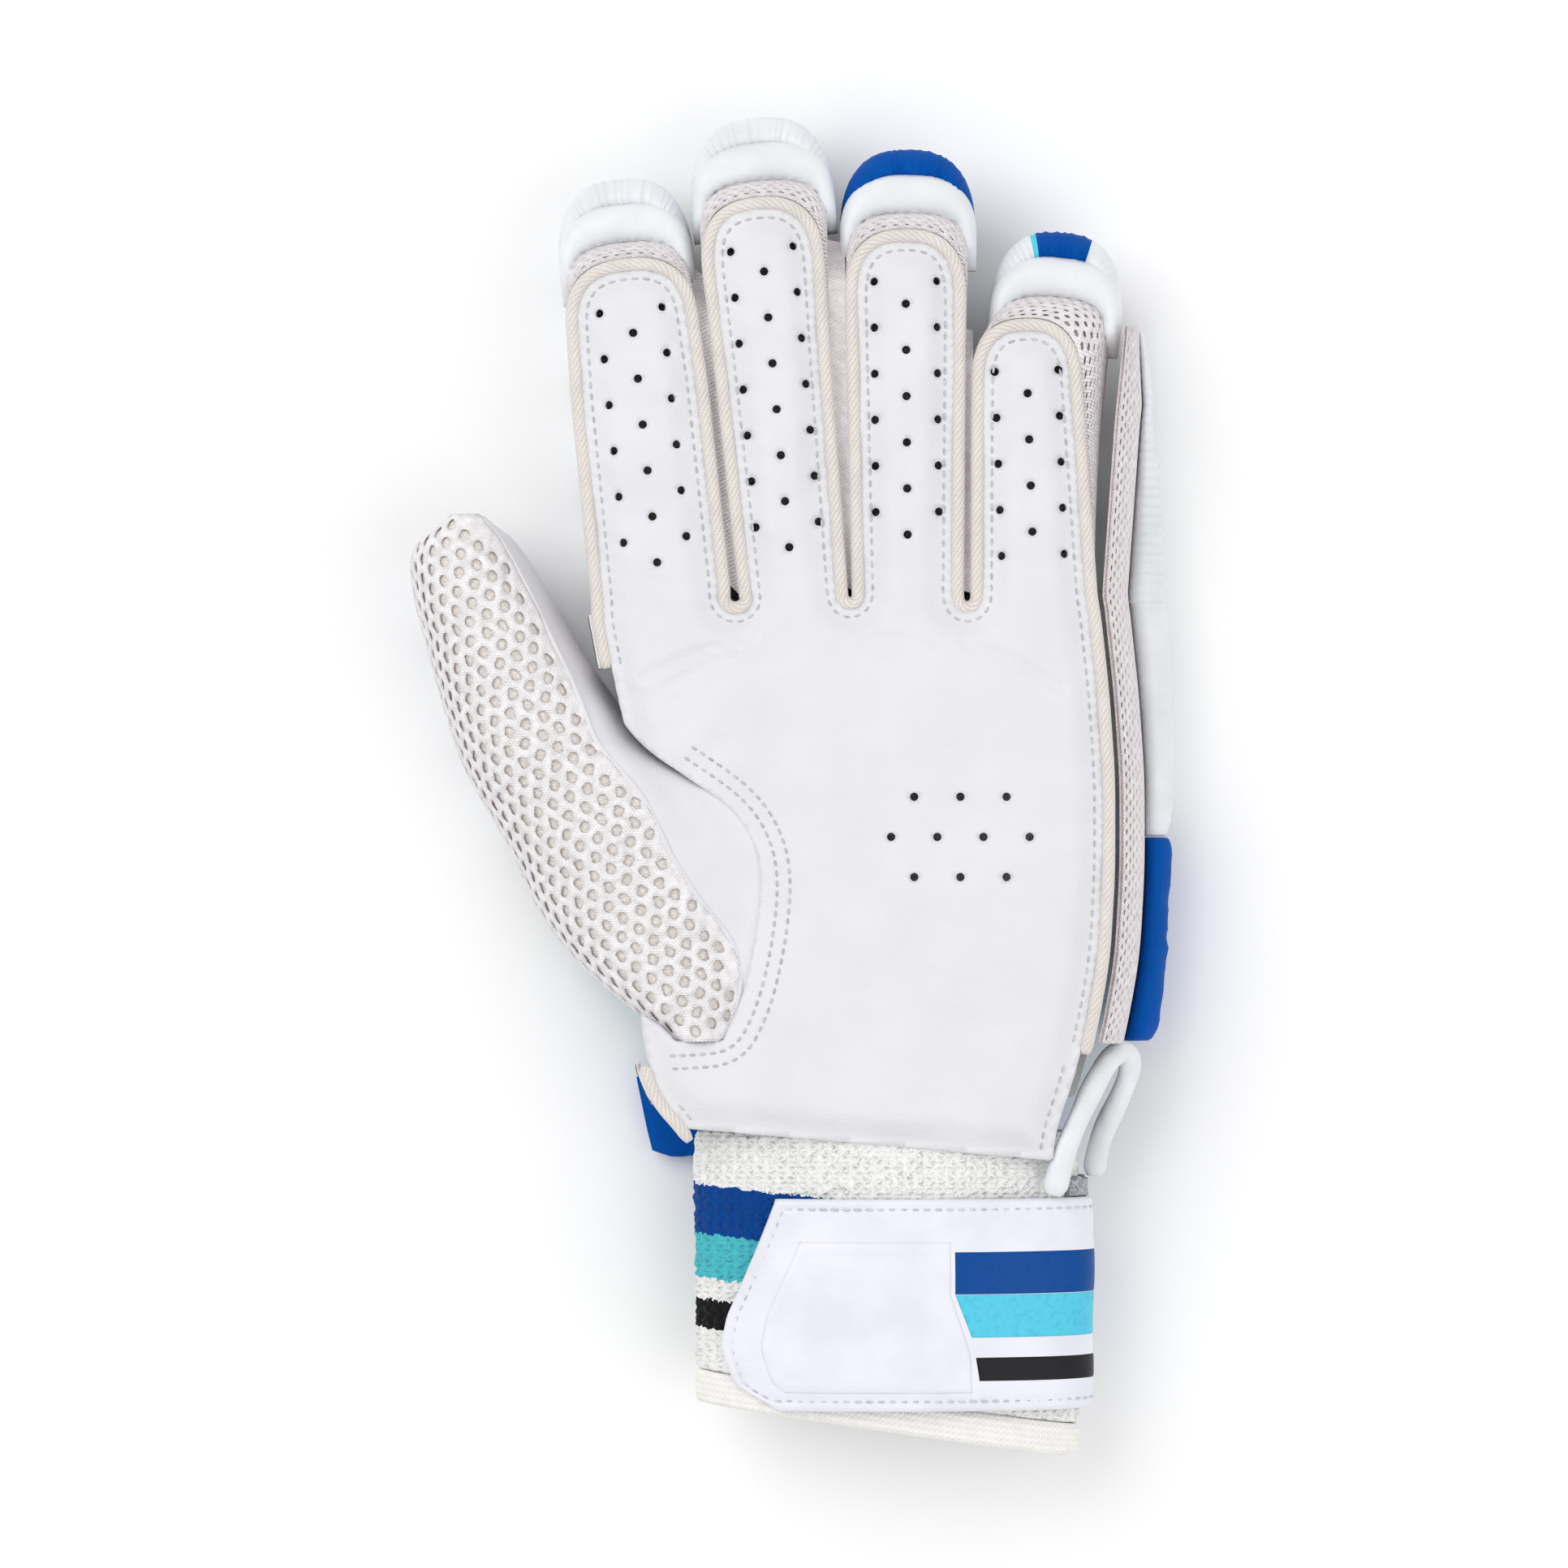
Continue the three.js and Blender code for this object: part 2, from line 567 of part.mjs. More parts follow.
function leatherSheet() {
  const low = [];
  for (const share of LOBE_SHARES) {
    const row = [];
    for (const finger of FINGERS.map(lobeOf)) {
      const y = tapeEnd(finger) * share;
      for (const s of ACROSS) {
        const point = new THREE.Vector3(s * (halfWidth(finger, y) + FINGER_GAP * 0.9), y, 0);
        point.applyMatrix4(fingerMatrix(finger));
        point.z = EDGE_LEVEL + FINGER_CROWN * (1 - s * s);
        row.push(point);
      }
    }
    low.push(row);
  }
  for (const { along, crown, crease } of PALM_SHARES) {
    const row = [];
    const y = -along * PALM_LENGTH;
    for (const finger of FINGERS.map(lobeOf)) {
      const rootHalf = (finger.wide[0] * HAND_WIDTH) / 2;
      for (const s of ACROSS) {
        const rootX = finger.root * HAND_WIDTH + s * rootHalf * 0.98;
        const share = (rootX + HALF_HAND) / HAND_WIDTH;
        const x = mix(palmLeft(y) - TAPE_WIDTH, palmRight(y) + TAPE_WIDTH, share);
        const swell = FINGER_CROWN * (1 - s * s) * crown + palmSwell(x) * (1 - crown);
        row.push(new THREE.Vector3(x, y, EDGE_LEVEL + swell - crease * CREASE_DEPTH * (1 - Math.abs(s))));
      }
    }
    low.push(row);
  }
  for (const row of low) {
    row.unshift(row[0].clone().add(new THREE.Vector3(-TAPE_WIDTH * 2, 0, 0)));
    row.push(row[row.length - 1].clone().add(new THREE.Vector3(TAPE_WIDTH * 2, 0, 0)));
  }
  const high = low.map((row) => row.map((p) => p.clone().setZ(p.z + LEATHER)));
  return wall(high, low);
}

function airHoles() {
  const low = EDGE_LEVEL - LEATHER * 3;
  const high = EDGE_LEVEL + FINGER_CROWN + PALM_CROWN + LEATHER * 3;
  const holes = [];
  for (const finger of FINGERS.map(lobeOf)) {
    const matrix = fingerMatrix(finger);
    const start = tapeEnd(finger) - TAPE_WIDTH - HOLE_START;
    for (let i = 0; i < finger.rows; i += 1) {
      const y = start - i * HOLE_PITCH;
      holes.push(toSolid(pin(-HOLE_SPREAD, y, HOLE_WIDTH / 2, 5, low, high), matrix));
      holes.push(toSolid(pin(HOLE_SPREAD, y, HOLE_WIDTH / 2, 5, low, high), matrix));
      if (i < finger.middles) {
        holes.push(toSolid(pin(0, y - HOLE_PITCH / 2, HOLE_WIDTH / 2, 5, low, high), matrix));
      }
    }
  }
  const rowCounts = [3, 4, 3];
  const middleX = HAND_WIDTH * 0.23;
  const middleY = -PALM_LENGTH * 0.44;
  rowCounts.forEach((count, i) => {
    const y = middleY + (i - 1) * HOLE_PITCH * STAGGER;
    for (let k = 0; k < count; k += 1) {
      const x = middleX + (k - (count - 1) / 2) * HOLE_PITCH;
      holes.push(toSolid(pin(x, y, HOLE_WIDTH / 2, 5, low, high)));
    }
  });
  return holes.reduce((all, hole) => all.add(hole));
}

function palmLeather() {
  const low = EDGE_LEVEL - LEATHER * 4;
  const high = EDGE_LEVEL + FINGER_CROWN + PALM_CROWN + LEATHER * 4;
  const slant = PALM_SLANT / PALM_LENGTH;
  let plan = toSolid(prism(palmOutline(0, 0, 0.02, 1.005, slant), low, high));
  for (const finger of FINGERS.map(lobeOf)) {
    const inset = TAPE_WIDTH + GAP;
    const arch = fingerArch(finger, tapeEnd(finger) - inset, LOBE_CURVE - 1, inset, 4, 10);
    const side = halfWidth(finger, 0) - inset;
    const lobe = [new THREE.Vector2(-side, -LOBE_LAP), ...arch, new THREE.Vector2(side, -LOBE_LAP)];
    plan = plan.add(toSolid(prism(lobe, low, high), fingerMatrix(finger)));
  }
  const thumbHole = toSolid(prism(thumbOutline(GAP), low, high));
  return toGeometry(plan.subtract(thumbHole).intersect(toSolid(leatherSheet())).subtract(airHoles()));
}

// Base cloth of the back, flat, with its four lobes
function backCloth() {
  let plan = toSolid(prism(palmOutline(-GAP, TAPE_WIDTH, 0, 0.93), CLOTH_LOW, CLOTH_TOP));
  for (const finger of FINGERS) {
    const away = RIM_REACH + GAP * 2;
    const arch = fingerArch(finger, fingerSize(finger).length - away, TIP_CURVE - away, CLOTH_INSET, 2, 8);
    const side = halfWidth(finger, 0) - CLOTH_INSET;
    const lobe = [new THREE.Vector2(-side, -LOBE_LAP), ...arch, new THREE.Vector2(side, -LOBE_LAP)];
    plan = plan.add(toSolid(prism(lobe, CLOTH_LOW, CLOTH_TOP), fingerMatrix(finger)));
  }
  return toGeometry(plan);
}

function buildHandBack() {
  add('palm_leather', palmLeather(), 'leather');
  add('back_cloth', backCloth(), 'cloth');
  HAND_ROLLS.forEach((row, i) => {
    const left = (y) => palmLeft(y) + ROLL_INSET;
    const right = (y) => palmRight(y) + TAPE_WIDTH;
    const body = roll(left, right, -row.start * PALM_LENGTH, -row.end * PALM_LENGTH, 0, ROLL_HEIGHT);
    add(`hand_roll_${i + 1}`, body, row.colour);
  });
}

// Outer edge: tape, leaning mesh wall and padded bars
function sidePoint(along) {
  if (along < 0) {
    const y = along * PALM_LENGTH;
    return new THREE.Vector3(palmRight(y) + GAP + TAPE_WIDTH, y, 0);
  }
  const little = FINGERS[FINGERS.length - 1];
  const y = along * fingerSize(little).length;
  return new THREE.Vector3(halfWidth(little, y) + GAP, y, 0).applyMatrix4(fingerMatrix(little));
}

// Rows with their places worked out: edge is the leather side, foot the mesh's foot, face the bar's outside.
function sideRows() {
  return SIDE_ROWS.map((row) => {
    const point = sidePoint(row.along);
    const edge = point.x + CLOTH + GAP;
    const foot = edge + Math.min(SIDE_FLARE, row.reach * HALF_HAND - PAD_WIDTH);
    const face = Math.max(point.x + row.reach * HALF_HAND, foot + GAP + PAD_WIDTH / 2);
    return { along: row.along, bar: row.bar, y: point.y, edge, foot, face };
  });
}

function sideMesh() {
  const lowLevel = WALL_LOW - PAD_HEIGHT / 3;
  const rows = sideRows();
  const top = rows.map((row) => new THREE.Vector3(row.edge, row.y, EDGE_LEVEL));
  const bottom = rows.map((row) => new THREE.Vector3(row.foot, row.y, lowLevel));
  const shift = (points) => points.map((p) => new THREE.Vector3(p.x - CLOTH, p.y, p.z));
  return wall([bottom, top], [shift(bottom), shift(top)]);
}

const BAR_SECTION = [
  { out: 0, level: 0.08 }, { out: 0, level: 0.9 }, { out: 0.45, level: 1 },
  { out: 1, level: 0.75 }, { out: 1, level: 0.25 }, { out: 0.45, level: 0 },
];

function sideBar(bar, steps, gathers) {
  const rows = sideRows().filter((row) => row.bar === bar || row.bar === 'both');
  const start = rows[0].along;
  const end = rows[rows.length - 1].along;
  const rings = [];
  for (let i = 0; i <= steps; i += 1) {
    const share = i / steps;
    const along = mix(start, end, share);
    const y = readTable(rows, 'along', 'y', along) - (bar === 'blue' && i === 0 ? GAP : 0);
    const full = Math.min(1, 6 * Math.min(share, 1 - share));
    const wave = RUFFLE * Math.cos((2 * Math.PI * gathers * i) / steps);
    const inner = readTable(rows, 'along', 'foot', along) + GAP;
    const outer = readTable(rows, 'along', 'face', along) + wave - (PAD_WIDTH / 3) * (1 - full);
    const height = PAD_HEIGHT * mix(0.6, 1, full);
    rings.push(BAR_SECTION.map((point) => {
      const z = PAD_MIDDLE + (point.level - 0.5) * height + wave * point.out;
      return new THREE.Vector3(mix(inner, outer, point.out), y, z);
    }));
  }
  return loft(rings);
}

function edgeTape(side, start, end) {
  const top = TAPE_LOW + TAPE_THICK;
  const outer = palmEdgePoints(side, start, end, GAP + TAPE_WIDTH);
  const inner = palmEdgePoints(side, start, end, GAP);
  return wall([raise(outer, TAPE_LOW), raise(outer, top)], [raise(inner, TAPE_LOW), raise(inner, top)]);
}

function edgeHeights(start, end) {
  const between = PALM_EDGES.map((row) => row.along).filter((along) => along > start && along < end);
  return [start, ...between, end].map((along) => -along * PALM_LENGTH);
}

function palmEdgePoints(side, start, end, away) {
  return edgeHeights(start, end).map((y) => {
    const x = side < 0 ? palmLeft(y) : palmRight(y);
    return new THREE.Vector2(x + side * away, y);
  });
}

function edgeWall(side, start, end) {
  const outer = palmEdgePoints(side, start, end, TAPE_WIDTH);
  const inner = palmEdgePoints(side, start, end, TAPE_WIDTH - CLOTH);
  return wall(
    [raise(outer, WALL_LOW), raise(outer, EDGE_LEVEL)],
    [raise(inner, WALL_LOW), raise(inner, EDGE_LEVEL)],
  );
}

function buildEdges() {
  add('side_mesh', sideMesh(), 'mesh');
  add('side_binding', edgeTape(1, 0.03, 0.84), 'tape');
  add('side_pad_white', sideBar('white', 26, 13), 'white');
  add('side_pad_blue', sideBar('blue', 12, 6), 'blue');
  add('web_gusset', edgeWall(-1, 0.03, 0.13), 'mesh');
  add('web_binding', edgeTape(-1, 0.03, 0.13), 'tape');
  add('heel_gusset', edgeWall(-1, 0.86, 0.93), 'mesh');
  add('heel_binding', edgeTape(-1, 0.86, 1), 'tape');
}

// Thumb: an arch in two pieces over its own base cloth, with rolls behind it
function thumbPoint(row, angle, thickness) {
  const { x, y, half, top } = thumbRow(row);
  const palmLevel = EDGE_LEVEL + LEATHER + PALM_CROWN / 2;
  const foot = angle < Math.PI / 2 ? mix(WALL_LOW, palmLevel, row.lift) : WALL_LOW;
  const reach = Math.max(half - thickness, half * 0.3);
  const height = Math.max(top - thickness - foot, (top - foot) * 0.3);
  return new THREE.Vector3(x + reach * Math.cos(angle), y, foot + height * Math.sin(angle));
}

function thumbStrip(startAngle, endAngle, steps, thickness) {
  const outer = [];
  const inner = [];
  for (const row of THUMB_ROWS) {
    const from = startAngle(row);
    const to = endAngle(row);
    const angles = Array.from({ length: steps + 1 }, (_, i) => mix(from, to, i / steps));
    outer.push(angles.map((angle) => thumbPoint(row, angle, 0)));
    inner.push(angles.map((angle) => thumbPoint(row, angle, thickness)));
  }
  return wall(outer, inner);
}

function netHoles() {
  const holes = [];
  const high = WALL_LOW + THUMB_RISE * 1.3;
  for (let i = 0; i < NET_ROWS; i += 1) {
    const along = 0.1 + (i * NET_PITCH * STAGGER) / THUMB_LENGTH;
    const half = readTable(THUMB_ROWS, 'along', 'half', along) * THUMB_WIDTH;
    const middle = THUMB_X + readTable(THUMB_ROWS, 'along', 'middle', along) * THUMB_LENGTH;
    const seam = THREE.MathUtils.degToRad(readTable(THUMB_ROWS, 'along', 'seam', along));
    const left = middle - half * 0.72;
    const right = middle + half * Math.cos(seam) - NET_HOLE;
    const offset = (i % 2) * 0.5 * NET_PITCH;
    for (let x = left + offset; x < right; x += NET_PITCH) {
      holes.push(toSolid(pin(x, THUMB_Y - along * THUMB_LENGTH, NET_HOLE / 2, 6, CLOTH_TOP, high)));
    }
  }
  return holes.reduce((all, hole) => all.add(hole));
}

function buildThumb() {
  const seamGap = THREE.MathUtils.degToRad(1.6);
  const seam = (row) => THREE.MathUtils.degToRad(row.seam);
  const net = thumbStrip((row) => seam(row) + seamGap, () => Math.PI, 7, CLOTH);
  add('thumb_mesh', toGeometry(toSolid(net).subtract(netHoles())), 'mesh');
  add('thumb_leather', thumbStrip(() => 0, seam, 3, LEATHER), 'leather');
  const handPlan = toSolid(prism(palmOutline(0, TAPE_WIDTH * 2, -0.2, 1.2), CLOTH_LOW - 1, CLOTH_TOP + 1));
  const back = toSolid(prism(thumbOutline(-GAP), CLOTH_LOW, CLOTH_TOP)).subtract(handPlan);
  add('thumb_back', toGeometry(back), 'cloth');
  const row = (y, column) => readTable(THUMB_ROWS, 'along', column, (THUMB_Y - y) / THUMB_LENGTH);
  const middle = (y) => THUMB_X + row(y, 'middle') * THUMB_LENGTH;
  const half = (y) => row(y, 'half') * THUMB_WIDTH;
  const left = (y) => middle(y) - half(y) + TIP_ROLL_INSET;
  const right = (y) => Math.min(middle(y) + half(y) - TIP_ROLL_INSET, palmLeft(y) - ROLL_INSET);
  THUMB_ROLLS.forEach(({ start, end }, i) => {
    const from = THUMB_Y - start * THUMB_LENGTH;
    const to = THUMB_Y - end * THUMB_LENGTH;
    add(`thumb_roll_${i + 1}`, roll(left, right, from, to, ROLL_HEIGHT * 0.2, ROLL_HEIGHT), 'white');
  });
}

// Wrist: flap, cuff, hem, strap and the rolled edge of the slit
function cuffPoint(angle, y, away) {
  const x = CUFF_MIDDLE_X + (CUFF_WIDTH / 2 + away) * Math.cos(angle);
  const z = CUFF_MIDDLE_Z + (CUFF_DEPTH / 2 + away) * Math.sin(angle);
  return new THREE.Vector3(x, y, z);
}

function cuffRing(y, slant, away, sides, ribs) {
  const points = [];
  for (let i = 0; i < sides; i += 1) {
    const angle = (2 * Math.PI * i) / sides;
    const rib = i % 2 === 0 ? 0 : -ribs;
    points.push(cuffPoint(angle, y - slant * Math.cos(angle), away + rib));
  }
  return points;
}

function cuffTube(start, end, startSlant, endSlant, rings, away, thickness, ribs) {
  const outer = [];
  const inner = [];
  for (let i = 0; i <= rings; i += 1) {
    const y = mix(start, end, i / rings);
    const slant = mix(startSlant, endSlant, i / rings);
    outer.push(cuffRing(y, slant, away, 24, ribs));
    inner.push(cuffRing(y, slant, away - thickness, 24, 0));
  }
  return wall(outer, inner, true);
}

function strapGrid(away) {
  const endAngle = THREE.MathUtils.degToRad(-46);
  return STRAP_END.map((row) => {
    const y = STRAP_START - row.down * STRAP_WIDTH;
    const startAngle = Math.acos(row.left / 0.5);
    return Array.from({ length: 15 }, (_, i) => cuffPoint(mix(startAngle, endAngle, i / 14), y, away));
  });
}

function buildWrist() {
  const flapStart = -PALM_LENGTH * 0.885;
  const flapEnd = CUFF_START - CUFF_LENGTH * 0.1;
  const share = (y) => (y - flapStart) / (flapEnd - flapStart);
  const flapLeft = (y) => -HALF_HAND * mix(0.83, 0.76, share(y));
  const flapRight = (y) => HALF_HAND * mix(0.87, 0.85, share(y));
  add('wrist_flap', roll(flapLeft, flapRight, flapStart, flapEnd, 0, FLAP_THICK), 'blue');
  const cuffEnd = CUFF_START - CUFF_LENGTH + HEM_LENGTH + GAP;
  const hemEnd = CUFF_START - CUFF_LENGTH;
  add('cuff', cuffTube(CUFF_START, cuffEnd, 0, HEM_SLANT, 3, 0, CUFF_WALL, 0.5), 'towel');
  const hem = cuffTube(cuffEnd - GAP, hemEnd, HEM_SLANT, HEM_SLANT, 1, 0, HEM_WALL, 0);
  add('cuff_hem', hem, 'cloth');
  add('strap', wall(strapGrid(STRAP_SEAT + STRAP_THICK), strapGrid(STRAP_SEAT)), 'white');
  const stripStart = STRAP_START + GAP;
  const stripRows = [stripStart, stripStart + STRIP_WIDTH];
  const stripFrom = 24;
  const strip = (away) => stripRows.map((y) => Array.from({ length: 5 }, (_, i) => {
    return cuffPoint(THREE.MathUtils.degToRad(stripFrom - (STRIP_TURN * i) / 4), y, away);
  }));
  add('fastener_strip', wall(strip(STRAP_SEAT + CLOTH), strip(STRAP_SEAT)), 'grey');
  const route = new THREE.CatmullRomCurve3(SLIT_ROUTE.map((point) => new THREE.Vector3(
    point.hand * HALF_HAND + point.cuff * CUFF_WIDTH, -point.along * PALM_LENGTH, point.level * EDGE_LEVEL,
  )));
  const ring = new THREE.Shape().absarc(0, 0, CORD_RADIUS, 0, 2 * Math.PI);
  const options = { steps: 16, curveSegments: 4, bevelEnabled: false, extrudePath: route };
  add('slit_binding', new THREE.ExtrudeGeometry(ring, options), 'leather');
}

FINGERS.forEach(buildFinger);
buildHandBack();
buildEdges();
buildThumb();
buildWrist();

// The glove stands in its frame with the middle of its box, at the ground, on the origin.
const box = new THREE.Box3().setFromObject(glove, true);
glove.position.set(-(box.min.x + box.max.x) / 2, -(box.min.y + box.max.y) / 2, -box.min.z);
const group = new THREE.Group();
group.add(glove);
export default group;
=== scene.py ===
# Cricket batting glove, palm up: the finish of every surface, built round the fixed frame.
# The tables and sizes below are in millimetres and repeat the frame's own; meshes are in metres.
import math

import bpy
import numpy as np
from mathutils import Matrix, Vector
from mathutils.geometry import delaunay_2d_cdt


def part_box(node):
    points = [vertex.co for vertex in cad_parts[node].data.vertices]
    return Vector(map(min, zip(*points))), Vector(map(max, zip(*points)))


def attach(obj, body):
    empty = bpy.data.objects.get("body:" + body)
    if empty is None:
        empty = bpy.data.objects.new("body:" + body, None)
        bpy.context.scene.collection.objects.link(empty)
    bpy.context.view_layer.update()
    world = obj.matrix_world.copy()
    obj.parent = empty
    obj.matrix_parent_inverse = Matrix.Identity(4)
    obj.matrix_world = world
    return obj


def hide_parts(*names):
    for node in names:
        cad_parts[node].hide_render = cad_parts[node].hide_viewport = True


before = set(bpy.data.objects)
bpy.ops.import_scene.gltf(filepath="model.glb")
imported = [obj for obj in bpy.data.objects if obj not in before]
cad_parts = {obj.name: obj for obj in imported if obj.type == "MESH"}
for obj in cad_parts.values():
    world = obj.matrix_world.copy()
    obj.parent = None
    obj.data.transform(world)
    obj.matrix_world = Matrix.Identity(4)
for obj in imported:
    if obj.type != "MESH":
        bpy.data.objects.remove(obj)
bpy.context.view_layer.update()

MM = 0.001


def table(names, rows):
    """Rows of a table, each with its values under the names of the columns."""
    return [dict(zip(names.split(), row)) for row in rows]


# Sizes of the frame
HAND_WIDTH = 110.0
FINGER_LENGTH = 104.6
PALM_LENGTH = 118.0
THUMB_LENGTH = 115.7
THUMB_WIDTH = 56.0
THUMB_RISE = 23.0
ROLL_HEIGHT = 15.0
HAND_ROOM = 16.0
LEATHER = 1.6
CLOTH = 1.4
TAPE_WIDTH = 3.0
TAPE_THICK = 1.3
GAP = 0.3
FINGER_GAP = 0.5
TIP_CURVE = 19.0
TIP_POWER = 2.6
TIP_LEVEL = 11.0
RIM_REACH = 5.2
CAP_REACH = 7.4
MESH_REACH = 4.6
LOBE_CURVE = 14.0
FOOT_INSET = 1.6
LOBE_LAP = 6.0
CLOTH_INSET = 1.8
PALM_SLANT = 7.0
PAD_WIDTH = 4.6
PAD_HEIGHT = 19.0
SIDE_FLARE = 5.0
CUFF_WIDTH = 84.0
CUFF_DEPTH = 27.0
CUFF_LENGTH = 65.0
CUFF_WALL = 2.8
HEM_LENGTH = 7.0
HEM_WALL = 3.6
HEM_SLANT = 6.0
FLAP_THICK = 6.0
STRAP_WIDTH = 46.0
STRAP_THICK = 2.6
STRAP_SEAT = 0.7
STRIP_WIDTH = 3.5
CORD_RADIUS = 2.5
HOLE_RADIUS = 0.92
HOLE_PITCH = 10.0
HOLE_SPREAD = 6.9
HOLE_START = 8.5

CLOTH_LOW = ROLL_HEIGHT + GAP
CLOTH_TOP = CLOTH_LOW + CLOTH
WALL_LOW = CLOTH_TOP + GAP
EDGE_LEVEL = CLOTH_TOP + HAND_ROOM
TAPE_LOW = EDGE_LEVEL + GAP
HALF_HAND = HAND_WIDTH / 2
PAD_MIDDLE = ROLL_HEIGHT * 0.75
CUFF_START = -PALM_LENGTH * 0.985
CUFF_END = CUFF_START - CUFF_LENGTH + HEM_LENGTH + GAP
STRAP_START = CUFF_START - CUFF_LENGTH * 0.22
CUFF_MIDDLE_X = HAND_WIDTH * 0.086
CUFF_MIDDLE_Z = FLAP_THICK + GAP + CUFF_DEPTH / 2
THUMB_X = -HAND_WIDTH * 0.744
THUMB_Y = PALM_LENGTH * 0.15

# Forms that only the finished surfaces have
PALM_RISE = 2.7                # leather's bulge over its edges
PALM_EASE = 7.5                # width over which it rises
LEATHER_EDGE = EDGE_LEVEL + 1.15
TAPE_LAP = 0.35                # tape over the edge of the leather
LEG = 0.34                     # legs of the fingertip's cap down its sides, in TIP_CURVE
WEB_END = 0.13                 # the tape starts this far down the palm's thumb side, in PALM_LENGTH
SIDE_END = 0.84                # and ends this far down its outer side

FINGERS = table("name root tip length wide rows middles", [
    ("index", -0.36, -0.447, 0.873, (0.288, 0.284, 0.25), 6, 6),
    ("middle", -0.098, -0.171, 1.0, (0.226, 0.244, 0.302), 7, 7),
    ("ring", 0.127, 0.129, 0.93, (0.232, 0.246, 0.28), 6, 6),
    ("little", 0.373, 0.435, 0.76, (0.262, 0.252, 0.264), 5, 4),
])
LITTLE = FINGERS[-1]

# Leather lobes with their tape: three of them lean or narrow otherwise than the padding behind them.
LOBE_CHANGES = [
    {},
    {"tip": -0.185, "wide": (0.226, 0.244, 0.272)},
    {"tip": 0.12, "wide": (0.232, 0.246, 0.26)},
    {"root": 0.376, "tip": 0.352, "length": 0.745, "wide": (0.262, 0.236, 0.2)},
]
LOBES = [{**finger, **change} for finger, change in zip(FINGERS, LOBE_CHANGES)]

PALM_EDGES = table("along left right", [
    (0.0, -0.955, 0.95),
    (0.17, -0.885, 0.99),
    (0.33, -0.8, 1.014),
    (0.5, -0.76, 1.014),
    (0.66, -0.78, 0.995),
    (0.78, -0.79, 0.95),
    (0.88, -0.75, 0.9),
    (0.96, -0.66, 0.84),
    (1.0, -0.54, 0.815),
])

THUMB_ROWS = table("along middle half rise lift seam", [
    (-0.004, -0.002, 0.02, 0.2, 0.0, 48),
    (0.0, -0.002, 0.07, 0.36, 0.0, 48),
    (0.02, -0.003, 0.15, 0.6, 0.0, 48),
    (0.066, -0.004, 0.225, 0.8, 0.0, 46),
    (0.157, 0.029, 0.271, 0.93, 0.0, 46),
    (0.249, 0.067, 0.295, 1.0, 0.0, 48),
    (0.347, 0.115, 0.341, 1.02, 0.0, 56),
    (0.433, 0.157, 0.37, 1.04, 0.1, 64),
    (0.489, 0.212, 0.44, 1.04, 0.9, 68),
    (0.555, 0.28, 0.495, 1.04, 1.0, 76),
    (0.64, 0.325, 0.488, 1.02, 1.0, 78),
    (0.73, 0.343, 0.45, 1.0, 1.0, 66),
    (0.82, 0.368, 0.37, 0.97, 1.0, 40),
    (0.91, 0.405, 0.25, 0.94, 1.0, 28),
    (0.985, 0.44, 0.1, 0.9, 1.0, 24),
])

SIDE_ROWS = table("along reach", [
    (0.76, 0.125),
    (0.55, 0.175),
    (0.3, 0.235),
    (0.1, 0.275),
    (-0.06, 0.28),
    (-0.25, 0.255),
    (-0.44, 0.245),
    (-0.58, 0.235),
    (-0.72, 0.25),
    (-0.82, 0.265),
])

HAND_ROLLS = table("start end colour", [
    (0.01, 0.18, "white"),
    (0.185, 0.35, "white"),
    (0.355, 0.5, "blue"),
    (0.505, 0.65, "white"),
    (0.655, 0.8, "cyan"),
])
FINGER_ROLLS = table("start end", [
    (0.03, 0.33),
    (0.345, 0.65),
    (0.665, 0.98),
])
THUMB_ROLLS = table("start end", [
    (0.06, 0.25),
    (0.26, 0.44),
    (0.45, 0.62),
])

STRAP_END = table("down left", [
    (0.0, -0.27),
    (0.27, -0.325),
    (0.55, -0.39),
    (0.7, -0.405),
    (0.88, -0.375),
    (1.0, -0.26),
])
# Printed stripes of the strap: down is a share of STRAP_WIDTH, left and slant of CUFF_WIDTH.
STRAP_STRIPES = table("start end left slant colour", [
    (0.248, 0.447, 0.162, 0.0, "blue"),
    (0.449, 0.652, 0.162, 0.04, "cyan"),
    (0.746, 0.857, 0.212, 0.01, "black"),
])
# Stripes of the cuff: each starts at a share of CUFF_LENGTH.
CUFF_STRIPES = table("start colour", [
    (0.0, (250, 250, 248)),
    (0.175, (8, 70, 148)),
    (0.338, (80, 195, 205)),
    (0.488, (248, 248, 246)),
    (0.558, (28, 28, 30)),
    (0.654, (248, 248, 245)),
])

SLIT_ROUTE = table("hand cuff along level", [
    (0.172, 0.431, 1.1, 0.95),
    (0.172, 0.454, 1.03, 0.97),
    (0.54, 0.239, 0.985, 0.95),
    (0.985, 0.0, 0.905, 0.85),
    (1.06, 0.0, 0.845, 0.75),
    (1.125, 0.0, 0.83, 0.7),
    (1.15, 0.0, 0.865, 0.65),
    (0.68, 0.272, 0.93, 0.6),
    (0.172, 0.565, 0.985, 0.58),
    (0.172, 0.546, 1.035, 0.57),
    (0.172, 0.541, 1.07, 0.57),
])


# Placing: the frame stands with the middle of its box on the origin.
cuff_low, cuff_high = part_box("cuff")
SHIFT = np.array([(cuff_low.x + cuff_high.x) / 2 / MM - CUFF_MIDDLE_X, cuff_high.y / MM - CUFF_START, 0.0])


def place(points):
    return (np.asarray(points, float) + SHIFT) * MM


def points_at(*axes):
    """Points from their coordinates, each an array or a number for all of them."""
    return np.stack(np.broadcast_arrays(*axes), -1)


def turned(points, angle):
    x, y = points[..., 0], points[..., 1]
    cosine = math.cos(angle)
    sine = math.sin(angle)
    return points_at(x * cosine - y * sine, x * sine + y * cosine)


